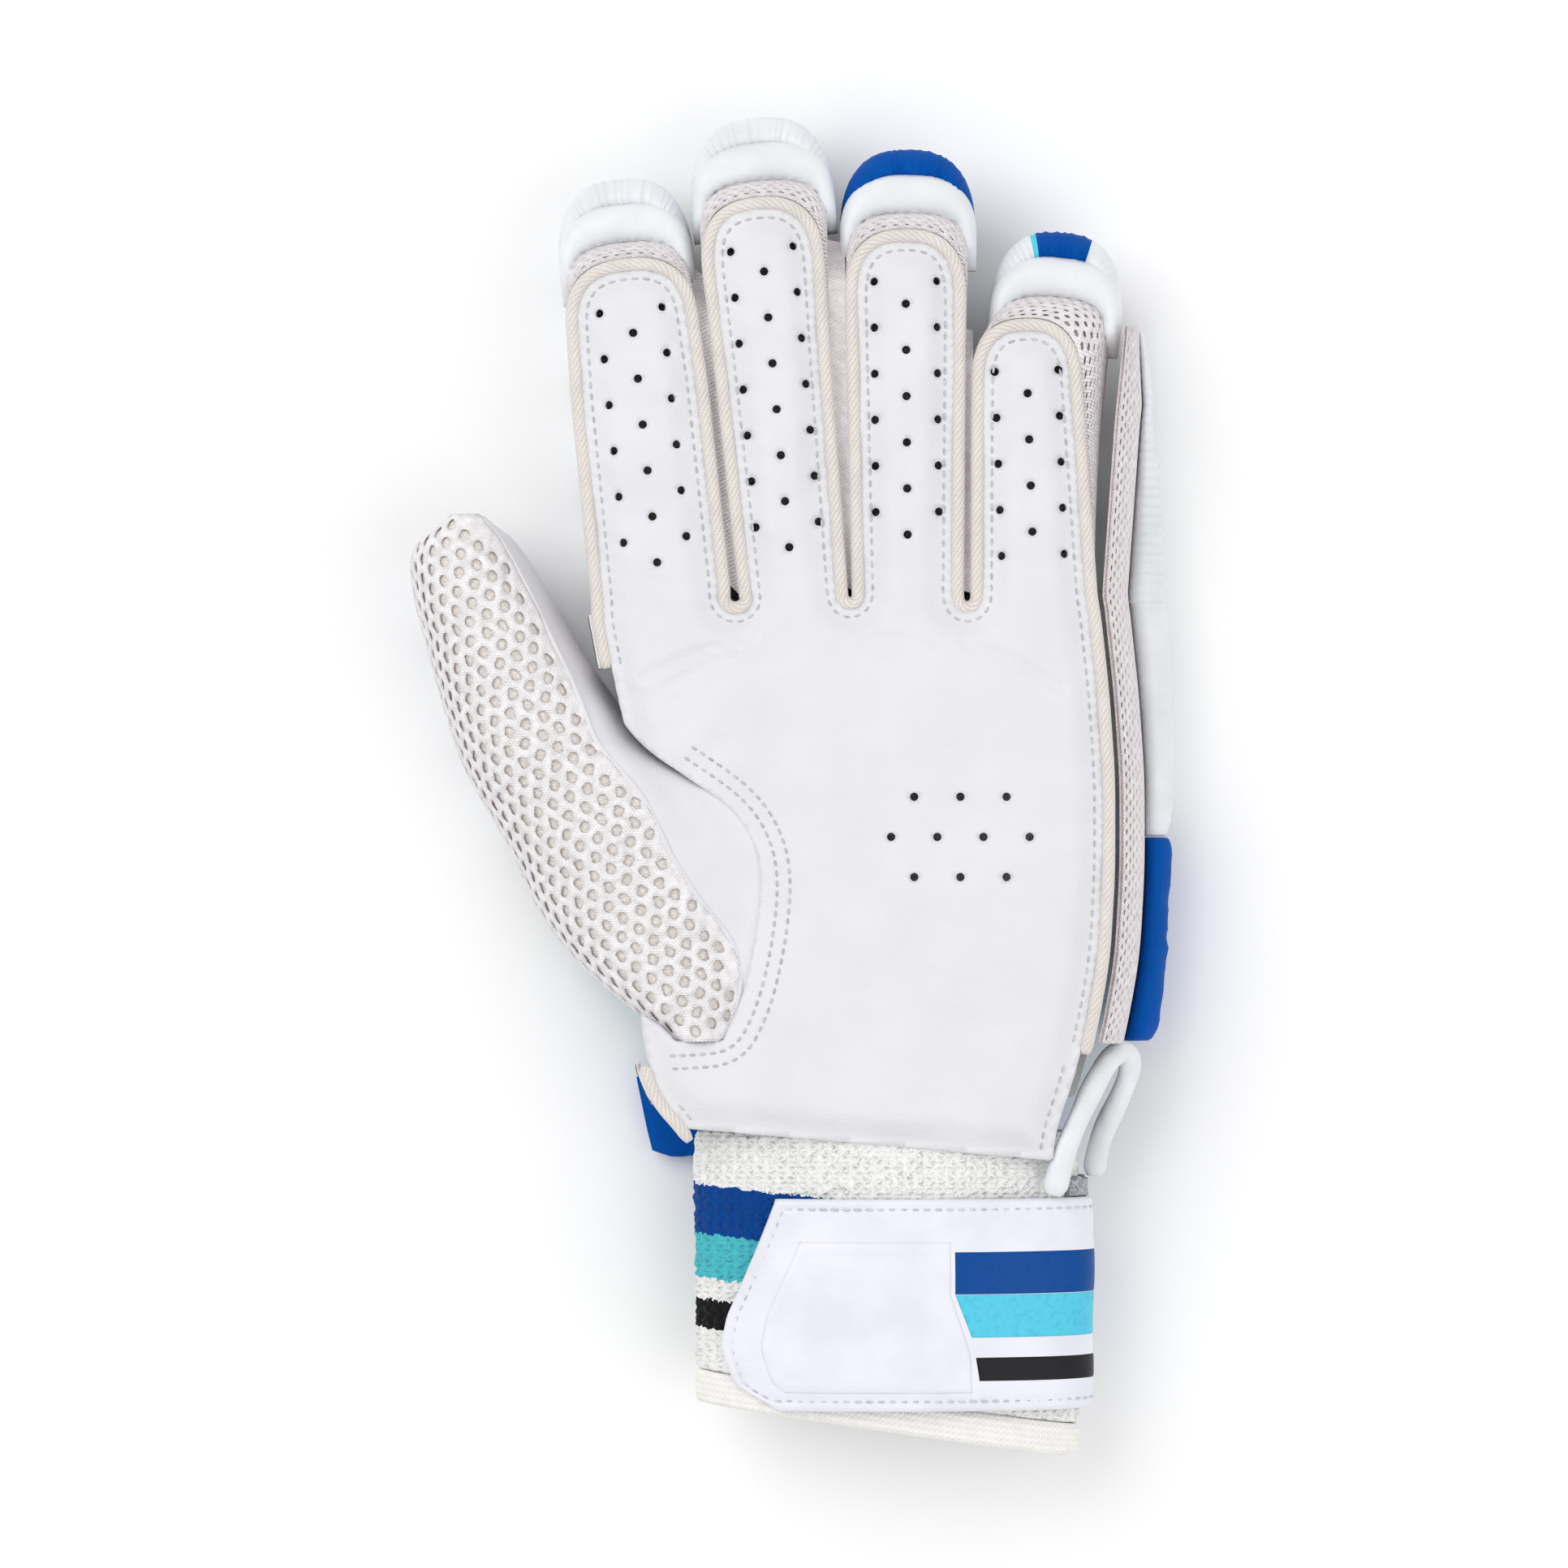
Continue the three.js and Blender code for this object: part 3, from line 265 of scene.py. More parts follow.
def mix(a, b, share):
    return a + (b - a) * share


def ease(low, high, value):
    share = np.clip((value - low) / (high - low), 0, 1)
    return share * share * (3 - 2 * share)


def column(rows, key, name, at, soft=0.0):
    """A column of a table at the given places, eased over its corners."""
    order = sorted(rows, key=lambda row: row[key])
    keys = [row[key] for row in order]
    values = [row[name] for row in order]
    shifts = np.linspace(-soft, soft, 9) if soft else [0.0]
    return np.mean([np.interp(np.asarray(at, float) + shift, keys, values) for shift in shifts], axis=0)


def ripple(points, pitch, seed, waves=9):
    """Smooth unevenness between about -1 and 1, with bumps about one pitch apart."""
    draw = np.random.default_rng(seed)
    directions = draw.normal(size=(waves, 3))
    directions /= np.linalg.norm(directions, axis=1, keepdims=True)
    turns = 2 * np.pi / (pitch * draw.uniform(0.7, 1.5, waves))
    phases = draw.uniform(0, 2 * np.pi, waves)
    total = sum(np.sin(points @ d * t + p) for d, t, p in zip(directions, turns, phases))
    return total / math.sqrt(waves)


# Making meshes
def build(name, points, faces, material, corner_uv=None):
    mesh = bpy.data.meshes.new(name)
    mesh.from_pydata(place(points).tolist(), [], faces)
    if corner_uv is not None:
        layer = mesh.uv_layers.new(name="UVMap")
        layer.data.foreach_set("uv", np.asarray(corner_uv, float).ravel())
    mesh.shade_smooth()
    mesh.materials.append(material)
    piece = bpy.data.objects.new(name, mesh)
    bpy.context.scene.collection.objects.link(piece)
    return piece


def grid_quads(rows, columns, wrap):
    spans = columns if wrap else columns - 1
    r, c = np.meshgrid(np.arange(rows - 1), np.arange(spans), indexing="ij")
    following = (c + 1) % columns
    quads = [r * columns + c, r * columns + following, (r + 1) * columns + following, (r + 1) * columns + c]
    return np.stack(quads, -1).reshape(-1, 4)


def grid_uv(grid, wrap):
    """Corner coordinates in millimetres, from the mean lengths of the grid's rows and columns."""
    full = np.concatenate([grid, grid[:, :1]], 1) if wrap else grid
    across = np.linalg.norm(np.diff(full, axis=1), axis=2).mean(0)
    along = np.linalg.norm(np.diff(full, axis=0), axis=2).mean(1)
    u = np.concatenate([[0], np.cumsum(along)])
    v = np.concatenate([[0], np.cumsum(across)])
    r, c = np.meshgrid(np.arange(len(u) - 1), np.arange(len(v) - 1), indexing="ij")
    corners = [(r, c), (r, c + 1), (r + 1, c + 1), (r + 1, c)]
    return np.stack([points_at(u[a], v[b]) for a, b in corners], 2).reshape(-1, 2)


def is_inside_out(grid, wrap):
    full = np.concatenate([grid, grid[:, :1]], 1) if wrap else grid
    middle = full.reshape(-1, 3).mean(0)
    a = full[:-1, :-1] - middle
    b = full[:-1, 1:] - middle
    c = full[1:, 1:] - middle
    return np.einsum("ijk,ijk->", a, np.cross(b, c)) < 0


def joined(name, grids, material, wrap=True, ends=True):
    """One mesh from several grids, whose columns close on themselves where wrap is set."""
    points, faces, uvs = [], [], []
    base = 0
    for grid in grids:
        rows, columns = grid.shape[:2]
        if is_inside_out(grid, wrap):
            grid = grid[:, ::-1]
        quads = grid_quads(rows, columns, wrap) + base
        faces.extend(quads.tolist())
        uvs.append(grid_uv(grid, wrap))
        if ends:
            last = base + (rows - 1) * columns
            faces.append(list(range(base + columns - 1, base - 1, -1)))
            faces.append(list(range(last, last + columns)))
            uvs.append(np.zeros((2 * columns, 2)))
        points.append(grid.reshape(-1, 3))
        base += rows * columns
    return build(name, np.concatenate(points), faces, material, np.concatenate(uvs))


def tube(name, grid, material):
    return joined(name, [grid], material)


def sheet_grid(name, grid, material, thickness, inside):
    """An open grid turned away from the point inside it and thickened towards that point."""
    normals = np.cross(grid[:-1, 1:] - grid[:-1, :-1], grid[1:, :-1] - grid[:-1, :-1])
    facing = np.einsum("ijk,ijk->", normals, grid[:-1, :-1] - np.asarray(inside, float))
    if facing < 0:
        grid = grid[:, ::-1]
    quads = grid_quads(*grid.shape[:2], False)
    piece = build(name, grid.reshape(-1, 3), quads.tolist(), material, grid_uv(grid, False))
    return thicken(piece, thickness)


def thicken(piece, thickness, offset=-1.0):
    solid = piece.modifiers.new("Thickness", "SOLIDIFY")
    solid.thickness = thickness * MM
    solid.offset = offset
    return piece


def plate(name, outer, inner, material):
    """A closed body between two grids of the same size."""
    rows, columns = outer.shape[:2]
    if np.cross(outer[0, 1] - outer[0, 0], outer[1, 0] - outer[0, 0]) @ (outer[0, 0] - inner[0, 0]) < 0:
        outer = outer[:, ::-1]
        inner = inner[:, ::-1]
    top = grid_quads(rows, columns, False)
    count = rows * columns
    index = np.arange(count).reshape(rows, columns)
    rim = np.concatenate([index[0, :-1], index[:-1, -1], index[-1, :0:-1], index[:0:-1, 0]])
    following = np.roll(rim, -1)
    sides = np.stack([following, rim, rim + count, following + count], -1)
    bottom = top[:, ::-1] + count
    points = np.concatenate([outer.reshape(-1, 3), inner.reshape(-1, 3)])
    uv_top = grid_uv(outer, False)
    uv_bottom = uv_top.reshape(-1, 4, 2)[:, ::-1].reshape(-1, 2)
    uv_sides = np.zeros((4 * len(sides), 2))
    faces = np.concatenate([top, bottom, sides]).tolist()
    return build(name, points, faces, material, np.concatenate([uv_top, uv_bottom, uv_sides]))


def lengths(path):
    return np.concatenate([[0], np.cumsum(np.linalg.norm(np.diff(path, axis=0), axis=1))])


def on_path(path, run, at):
    """Points of a path at the given lengths along it, where run is the length up to each of its own."""
    return np.stack([np.interp(at, run, path[:, k]) for k in range(path.shape[1])], -1)


def resample(path, step, closed=False):
    path = np.asarray(path, float)
    if closed:
        path = np.concatenate([path, path[:1]])
    run = lengths(path)
    count = max(int(round(run[-1] / step)), 2) + 1
    at = np.linspace(0, run[-1], count)
    even = on_path(path, run, at)
    return even[:-1] if closed else even


def soften(path, passes, closed=False):
    path = np.asarray(path, float)
    for _ in range(passes):
        before = np.roll(path, 1, 0)
        after = np.roll(path, -1, 0)
        eased = (before + 2 * path + after) / 4
        if not closed:
            eased[0] = path[0]
            eased[-1] = path[-1]
        path = eased
    return path


def soft_section(points, count=28, passes=3):
    closed = np.asarray(points, float)
    run = lengths(np.concatenate([closed, closed[:1]]))[-1]
    return soften(resample(closed, run / count, True), passes, True)


def sweep(path, section, up=(0, 0, 1)):
    """A section of sideways and upward offsets carried along a path, as one grid."""
    tangent = np.gradient(path, axis=0)
    tangent /= np.linalg.norm(tangent, axis=1, keepdims=True)
    side = np.cross(tangent, np.asarray(up, float))
    side /= np.linalg.norm(side, axis=1, keepdims=True)
    lift = np.cross(side, tangent)
    section = np.broadcast_to(section, (len(path),) + np.shape(section)[-2:])
    return path[:, None] + section[..., :1] * side[:, None] + section[..., 1:] * lift[:, None]


def oval(width, height, count=16, power=2.6):
    angle = np.linspace(0, 2 * np.pi, count, endpoint=False)
    x = np.sign(np.cos(angle)) * np.abs(np.cos(angle)) ** (2 / power) * width / 2
    y = np.sign(np.sin(angle)) * np.abs(np.sin(angle)) ** (2 / power) * height / 2
    return points_at(x, y)


def taper(count, ends=4, least=0.35):
    """Shares that make a sweep's two ends round."""
    at = np.minimum(np.arange(count), np.arange(count)[::-1])
    return mix(least, 1.0, np.sin(np.clip(at / ends, 0, 1) * np.pi / 2))


def tapered(section, count, ends, least):
    """A section for each of a path's points, smaller towards both ends of the path."""
    return section[None] * taper(count, ends, least)[:, None, None]


STITCH = oval(0.5, 0.4, 6, 2)
STITCH_RISE = (-0.22, 0.06, 0.14, 0.06, -0.22)


def stitches(name, paths, material, pitch=2.5, length=1.75):
    """Single stitches laid on paths: each is a short bowed thread with its ends in the leather."""
    grids = []
    for path in paths:
        path = np.asarray(path, float)
        run = lengths(path)
        for start in np.arange(0.3, run[-1] - length, pitch):
            at = start + np.linspace(0, length, 5)
            line = on_path(path, run, at)
            line[:, 2] += STITCH_RISE
            grids.append(sweep(line, tapered(STITCH, 5, 1, 0.5)))
    return joined(name, grids, material)


# Materials
def linear(colour):
    return [((c / 255 + 0.055) / 1.055) ** 2.4 if c > 10 else c / 255 / 12.92 for c in colour] + [1.0]


class Surface:
    """A principled material with helpers for the nodes that give it grain, weave and colour."""

    def __init__(self, name, colour, roughness, sheen=0.0, coordinates="Object", gleam=0.5):
        self.material = bpy.data.materials.new(name)
        self.material.use_nodes = True
        self.nodes = self.material.node_tree.nodes
        self.links = self.material.node_tree.links
        self.shader = self.nodes["Principled BSDF"]
        self.shader.inputs["Base Color"].default_value = linear(colour)
        self.shader.inputs["Roughness"].default_value = roughness
        self.shader.inputs["Sheen Weight"].default_value = sheen
        self.shader.inputs["Specular IOR Level"].default_value = gleam
        self.where = self.nodes.new("ShaderNodeTexCoord").outputs[coordinates]
        self.colour = colour

    def add(self, kind, **values):
        node = self.nodes.new(kind)
        for key, value in values.items():
            setattr(node, key, value)
        return node

    def noise(self, pitch, detail=3.0, stretch=(1, 1, 1), unit=MM):
        node = self.add("ShaderNodeTexNoise")
        node.inputs["Scale"].default_value = 1 / (pitch * unit)
        node.inputs["Detail"].default_value = detail
        self.links.new(self.stretched(stretch), node.inputs["Vector"])
        return node.outputs["Fac"]

    def cells(self, pitch, feature="F1", unit=MM):
        node = self.add("ShaderNodeTexVoronoi", feature=feature)
        node.inputs["Scale"].default_value = 1 / (pitch * unit)
        self.links.new(self.where, node.inputs["Vector"])
        return node.outputs["Distance"]

    def stretched(self, scale, turn=0.0):
        node = self.add("ShaderNodeMapping")
        node.inputs["Scale"].default_value = scale
        node.inputs["Rotation"].default_value[2] = turn
        self.links.new(self.where, node.inputs["Vector"])
        return node.outputs["Vector"]

    def bands(self, pitch, turn=0.0, unit=1.0, wobble=0.0):
        node = self.add("ShaderNodeTexWave", bands_direction="X")
        node.inputs["Scale"].default_value = 2 * math.pi / 20 / (pitch * unit)
        node.inputs["Distortion"].default_value = wobble
        node.inputs["Detail Scale"].default_value = 2.0
        self.links.new(self.stretched((1, 1, 1), turn), node.inputs["Vector"])
        return node.outputs["Fac"]

    def math(self, operation, a, b=0.0, c=0.0):
        node = self.add("ShaderNodeMath", operation=operation)
        for socket, value in zip(node.inputs, (a, b, c)):
            if isinstance(value, (int, float)):
                socket.default_value = value
            else:
                self.links.new(value, socket)
        return node.outputs["Value"]

    def bump(self, height, depth, strength=1.0):
        node = self.add("ShaderNodeBump")
        node.inputs["Strength"].default_value = strength
        node.inputs["Distance"].default_value = depth * MM
        self.links.new(height, node.inputs["Height"])
        before = self.shader.inputs["Normal"]
        if before.is_linked:
            self.links.new(before.links[0].from_socket, node.inputs["Normal"])
        self.links.new(node.outputs["Normal"], before)

    def tint(self, factor, other, low=0.35, high=0.65):
        """Mixes another colour in where the factor is high."""
        ramp = self.add("ShaderNodeValToRGB")
        ramp.color_ramp.elements[0].position = low
        ramp.color_ramp.elements[1].position = high
        ramp.color_ramp.elements[0].color = linear(self.colour)
        ramp.color_ramp.elements[1].color = linear(other)
        self.links.new(factor, ramp.inputs["Fac"])
        self.links.new(ramp.outputs["Color"], self.shader.inputs["Base Color"])

    def gloss(self, factor, low, high):
        """Lets the roughness vary between two values."""
        node = self.add("ShaderNodeMapRange")
        node.inputs["To Min"].default_value = low
        node.inputs["To Max"].default_value = high
        self.links.new(factor, node.inputs["Value"])
        self.links.new(node.outputs["Result"], self.shader.inputs["Roughness"])


def darker(colour, share, warm=0):
    return (colour[0] * share + warm, colour[1] * share, colour[2] * share - warm / 2)


def soft_leather(name, colour):
    s = Surface(name, colour, 0.62, sheen=0.12)
    s.tint(s.noise(16, 4), darker(colour, 0.98, 0.5))
    s.bump(s.noise(7, 5, (1, 1.9, 1)), 0.42, 0.55)
    s.bump(s.cells(0.75), 0.10, 0.5)
    s.bump(s.noise(0.35, 2), 0.05, 0.6)
    s.gloss(s.noise(5, 3), 0.52, 0.72)
    return s.material


def coated_leather(name, colour, roughness=0.38, gleam=0.4):
    s = Surface(name, colour, roughness, gleam=gleam)
    s.tint(s.noise(12, 3), darker(colour, 0.965))
    s.bump(s.noise(3.2, 5, (1, 2.2, 1)), 0.30, 0.5)
    s.bump(s.cells(0.55, "SMOOTH_F1"), 0.06, 0.5)
    s.gloss(s.noise(3, 3), roughness - 0.06, roughness + 0.12)
    return s.material


def printed(name, colour):
    s = Surface(name, colour, 0.4, gleam=0.15)
    s.tint(s.noise(1.4, 2), darker(colour, 0.88), 0.5, 0.9)
    s.bump(s.cells(0.6, "SMOOTH_F1"), 0.07, 0.55)
    s.gloss(s.noise(1.2, 2), 0.3, 0.46)
    return s.material


def woven_tape(name, colour):
    s = Surface(name, colour, 0.86, sheen=0.3, coordinates="UV")
    twill = s.bands(0.85, math.radians(58), wobble=1.2)
    cross = s.bands(0.62, math.radians(-12), wobble=0.8)
    s.tint(s.math("ADD", s.math("MULTIPLY", twill, 0.4), s.math("MULTIPLY", s.noise(5, 3, unit=1), 0.6)),
           darker(colour, 0.9, 2), 0.3, 0.85)
    s.bump(twill, 0.22, 0.9)
    s.bump(cross, 0.10, 0.7)
    s.bump(s.noise(0.3, 2, unit=1), 0.10, 0.6)
    return s.material


def knit_mesh(name, colour):
    s = Surface(name, colour, 0.88, sheen=0.2, coordinates="UV")
    s.tint(s.noise(2.4, 3, unit=1), darker(colour, 0.92, 2))
    s.bump(s.bands(0.5, math.radians(90), wobble=1.5), 0.12, 0.8)
    s.bump(s.bands(0.7, math.radians(35), wobble=1.5), 0.08, 0.8)
    return s.material


def net_backing(name, colour):
    s = Surface(name, colour, 0.92, coordinates="UV")
    s.tint(s.cells(0.55, unit=1), darker(colour, 0.9, 2), 0.25, 0.6)
    s.bump(s.cells(0.5, unit=1), 0.15, 0.8)
    return s.material


def plain_cloth(name, colour):
    s = Surface(name, colour, 0.9, sheen=0.1)
    s.tint(s.noise(9, 3), darker(colour, 0.94))
    s.bump(s.bands(0.7, 0.0, unit=MM), 0.10, 0.8)
    s.bump(s.bands(0.7, math.radians(90), unit=MM), 0.10, 0.8)
    return s.material


def knit_loops(s, pitch):
    """Height of knitted stitches: slanting bands that mirror from one column to the next."""
    split = s.add("ShaderNodeSeparateXYZ")
    s.links.new(s.where, split.inputs["Vector"])
    column_share = s.math("PINGPONG", split.outputs["Y"], pitch / 2)
    slanted = s.math("ADD", split.outputs["X"], s.math("MULTIPLY", column_share, 0.9))
    rows = s.math("SINE", s.math("MULTIPLY", slanted, 2 * math.pi / pitch))
    grooves = s.math("SINE", s.math("MULTIPLY", split.outputs["Y"], 2 * math.pi / pitch))
    return s.math("ADD", rows, s.math("MULTIPLY", s.math("ABSOLUTE", grooves), 1.2))


STRIPE_TILT = 0.1              # the cuff's stripes fall this much to the left
STRIPE_RAGGED = 0.035          # and their edges wander this much, in CUFF_LENGTH


def towelling(name):
    s = Surface(name, CUFF_STRIPES[0]["colour"], 0.94, sheen=0.08, gleam=0.1)
    split = s.add("ShaderNodeSeparateXYZ")
    s.links.new(s.where, split.inputs["Vector"])
    start = cuff_high.y
    left = cuff_low.x
    tilt = s.math("MULTIPLY", s.math("SUBTRACT", split.outputs["X"], left), STRIPE_TILT)
    down = s.math("SUBTRACT", s.math("SUBTRACT", start, split.outputs["Y"]), tilt)
    share = s.math("DIVIDE", down, CUFF_LENGTH * MM)
    ragged = s.math("MULTIPLY", s.math("SUBTRACT", s.noise(1.1, 2), 0.5), STRIPE_RAGGED)
    ramp = s.add("ShaderNodeValToRGB")
    ramp.color_ramp.interpolation = "CONSTANT"
    ramp.color_ramp.elements.remove(ramp.color_ramp.elements[1])
    ramp.color_ramp.elements[0].color = linear(CUFF_STRIPES[0]["colour"])
    for stripe in CUFF_STRIPES[1:]:
        element = ramp.color_ramp.elements.new(stripe["start"])
        element.color = linear(stripe["colour"])
    s.links.new(s.math("ADD", share, ragged), ramp.inputs["Fac"])
    # Painted shade: the cells that sink the hollows between the loops also darken the colour there a
    # little.
    shade = s.add("ShaderNodeMix", data_type="RGBA", blend_type="MULTIPLY")
    shade.inputs["Factor"].default_value = 0.18
    loops = s.cells(1.05)
    dark = s.add("ShaderNodeMapRange")
    dark.inputs["From Max"].default_value = 0.9
    dark.inputs["To Min"].default_value = 1.0
    dark.inputs["To Max"].default_value = 0.7
    s.links.new(loops, dark.inputs["Value"])
    s.links.new(ramp.outputs["Color"], shade.inputs["A"])
    s.links.new(dark.outputs["Result"], shade.inputs["B"])
    s.links.new(shade.outputs["Result"], s.shader.inputs["Base Color"])
    s.bump(loops, -0.5, 0.7)
    s.bump(knit_loops(s, 2.3 * MM), 0.22, 0.7)
    s.bump(s.noise(0.35, 2), 0.15, 0.6)
    return s.material


def hem_cloth(name, colour):
    s = Surface(name, colour, 0.85, sheen=0.2, coordinates="UV")
    s.tint(s.noise(3, 3, unit=1), darker(colour, 0.97, 1))
    s.bump(knit_loops(s, 1.3), 0.08, 0.9)
    return s.material


def hook_tape(name, colour):
    s = Surface(name, colour, 0.8)
    s.tint(s.noise(0.7, 2), darker(colour, 1.35))
    s.bump(s.cells(0.6), 0.5, 1.0)
    return s.material


def thread(name, colour):
    s = Surface(name, colour, 0.6, sheen=0.2)
    s.tint(s.noise(1.5, 2), darker(colour, 0.85))
    s.bump(s.noise(0.15, 1), 0.08, 0.8)
    return s.material


LEATHER_COLOUR = (231, 231, 235)
WHITE = (236, 239, 242)
BLUE = (2, 82, 170)
CYAN = (88, 205, 232)
BLACK = (34, 34, 37)

palm_white = soft_leather("palm leather", LEATHER_COLOUR)
pad_white = coated_leather("coated white", WHITE)
pad_blue = coated_leather("coated blue", BLUE, 0.52, 0.05)
pad_cyan = coated_leather("coated cyan", CYAN)
strap_white = coated_leather("strap white", (238, 238, 247), 0.36)
ink = {"blue": printed("print blue", (2, 74, 150)), "cyan": printed("print cyan", CYAN),
       "black": printed("print black", BLACK)}
tape_cream = woven_tape("woven tape", (244, 237, 231))
mesh_white = knit_mesh("side mesh", (252, 247, 249))
net_white = knit_mesh("thumb net", (253, 251, 253))
backing = net_backing("net backing", (250, 245, 242))
lining = net_backing("mesh lining", (240, 229, 229))
base_cloth = plain_cloth("base cloth", (226, 224, 222))
towel = towelling("striped towelling")
hem_white = hem_cloth("woven hem", (252, 250, 247))
hooks = hook_tape("hook tape", (150, 152, 156))
white_thread = thread("white thread", (226, 227, 233))
# Painted shade: the palm's and thumb's stitches use a greyer copy of the white thread for the shade they
# lie in.
shaded_thread = thread("shaded thread", (209, 212, 218))
PADS = {"white": pad_white, "blue": pad_blue, "cyan": pad_cyan}


def fit(piece, *nodes):
    """Rides on the glove and stands for the nodes that it replaces."""
    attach(piece, "root")
    if nodes:
        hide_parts(*nodes)
    return piece


# Fingers: each has its own frame along +Y from its root
def finger_length(finger):
    return finger["length"] * FINGER_LENGTH


def finger_place(finger, points):
    root = finger["root"] * HAND_WIDTH
    lean = -math.atan2(finger["tip"] * HAND_WIDTH - root, finger_length(finger))
    placed = np.array(points, float)
    placed[..., :2] = turned(placed[..., :2], lean)
    placed[..., 0] += root
    return placed


def half_width(finger, y):
    share = np.clip(np.asarray(y, float) / finger_length(finger), 0, 1)
    return np.interp(share, (0, 0.5, 1), finger["wide"]) * HAND_WIDTH / 2 - FINGER_GAP


def tip_curve(angle):
    """Points on a half ellipse of height and half width one, drawn squarer."""
    cosine = np.cos(angle)
    power = 2 / TIP_POWER
    return np.sign(cosine) * np.abs(cosine) ** power, np.abs(np.sin(angle)) ** power


def finger_arch(finger, end, curve, inset, side_steps=30, curve_steps=36):
    """An arch up one side of a finger, round its end and down the other side, in the finger's frame."""
    springing = end - curve
    up = springing * np.arange(side_steps) / side_steps
    left = points_at(inset - half_width(finger, up), up)
    half = half_width(finger, springing) - inset
    across, along = tip_curve(np.linspace(np.pi, 0, curve_steps + 1))
    top = points_at(half * across, springing + curve * along)
    right = left[::-1] * (-1, 1)
    return soften(np.concatenate([left, top, right]), 2)


def raised(path, level):
    return np.concatenate([path, np.broadcast_to(level, (len(path), 1))], 1)


def tape_end(finger):
    return finger_length(finger) - RIM_REACH - CAP_REACH - MESH_REACH


TAPE_SECTION = soft_section([
    (-1.45, -0.1), (-1.5, 0.7), (-1.1, 1.45), (-0.2, 2.0), (0.8, 1.75), (1.4, 1.1), (1.5, 0.1), (0.6, -0.1),
], 18, 2)


def binding_path():
    """Middle of the tape in plan: from the thumb web round the four lobes and down the outer edge."""
    away = GAP + TAPE_WIDTH / 2
    up = -np.linspace(WEB_END, 0.04, 20) * PALM_LENGTH
    parts = [points_at(palm_left(up) - away, up)]
    for lobe in LOBES:
        end = tape_end(lobe) - TAPE_WIDTH / 2
        arch = finger_place(lobe, finger_arch(lobe, end, LOBE_CURVE - 0.5, TAPE_WIDTH / 2, 40, 50))
        if lobe is not LOBES[0]:
            before = parts[-1][-1]
            angle = np.linspace(np.pi, 2 * np.pi, 16)[1:-1]
            radius = np.linalg.norm(arch[0] - before) / 2
            parts.append((before + arch[0]) / 2 + radius * points_at(np.cos(angle), np.sin(angle)))
        parts.append(arch)
    down = -np.linspace(0.04, SIDE_END, 80) * PALM_LENGTH
    parts.append(points_at(palm_right(down) + away, down))
    return soften(resample(np.concatenate(parts), 0.6), 4)


def beside(path, away):
    """A path in plan moved to its right."""
    return path + outward(raised(path, 0.0), -1.0)[:, :2] * away


def binding_tape():
    path = raised(resample(BINDING, 0.7), TAPE_LOW)
    path[:, 2] += 0.25 * ripple(path, 22, 5)
    section = tapered(TAPE_SECTION, len(path), 3, 0.6)
    nodes = [f"binding_{lobe['name']}" for lobe in LOBES]
    fit(tube("binding_tape", sweep(path, section), tape_cream), *nodes, "side_binding", "web_binding")


# Perforated cloth: holes in a lattice over a flat outline, then laid on a surface
def lattice(low, high, pitch_x, pitch_y):
    rows = np.arange(low[1], high[1], pitch_y)
    spots = []
    for k, y in enumerate(rows):
        xs = np.arange(low[0] + (k % 2) * pitch_x / 2, high[0], pitch_x)
        spots.append(points_at(xs, y))
    return np.concatenate(spots)


def inside(outline, points):
    """Which points lie inside a closed outline."""
    x, y = points[:, 0:1], points[:, 1:2]
    x1, y1 = outline[:, 0][None], outline[:, 1][None]
    x2, y2 = np.roll(outline[:, 0], -1)[None], np.roll(outline[:, 1], -1)[None]
    crossing = ((y1 > y) != (y2 > y)) & (x < (x2 - x1) * (y - y1) / np.where(y2 == y1, 1e-9, y2 - y1) + x1)
    return crossing.sum(1) % 2 == 1


def distance(points, segments):
    """Distance of each point from the nearest of the segments."""
    best = np.full(len(points), 1e9)
    for start in range(0, len(points), 3000):
        p = points[start:start + 3000, None]
        a = segments[None, :, 0]
        along = segments[None, :, 1] - a
        share = np.clip(((p - a) * along).sum(2) / np.maximum((along ** 2).sum(2), 1e-12), 0, 1)
        gap = np.linalg.norm(p - a - share[..., None] * along, axis=2)
        best[start:start + 3000] = gap.min(1)
    return best


def sides_of(outline):
    return np.stack([outline, np.roll(outline, -1, 0)], 1)


def counterclockwise(outline):
    x, y = outline[:, 0], outline[:, 1]
    area = (x * np.roll(y, -1) - np.roll(x, -1) * y).sum()
    return outline if area > 0 else outline[::-1]


def cut_sheet(outlines, holes, fill):
    """Flat triangles over the outlines together, without the holes. Fill is the pitch of inner points."""
    polygons = [counterclockwise(polygon) for polygon in list(outlines) + list(holes)]
    edges = np.concatenate([sides_of(p) for p in polygons])
    points = np.concatenate(polygons)
    if fill:
        low = points.min(0)
        high = points.max(0)
        inner = lattice(low, high, fill, fill * 0.866)
        kept = np.zeros(len(inner), bool)
        for outline in outlines:
            kept |= inside(outline, inner)
        inner = inner[kept]
        inner = inner[distance(inner, edges) > fill * 0.4]
        points = np.concatenate([points, inner])
    faces = []
    base = 0
    for polygon in polygons:
        faces.append(list(range(base, base + len(polygon))))
        base += len(polygon)
    made = delaunay_2d_cdt([Vector(p) for p in points], [], faces, 1, 1e-5, True)
    vertices = np.array([tuple(v) for v in made[0]])
    solid = len(outlines)
    triangles = [f for f, source in zip(made[2], made[5])
                 if source and min(source) < solid and max(source) < solid]
    return vertices, triangles


def flat_build(name, flat, points, triangles, material):
    loops = np.concatenate([np.asarray(t) for t in triangles])
    used = np.unique(loops)
    lookup = np.zeros(len(points), int)
    lookup[used] = np.arange(len(used))
    faces = [[int(lookup[i]) for i in t] for t in triangles]
    return build(name, points[used], faces, material, flat[loops])


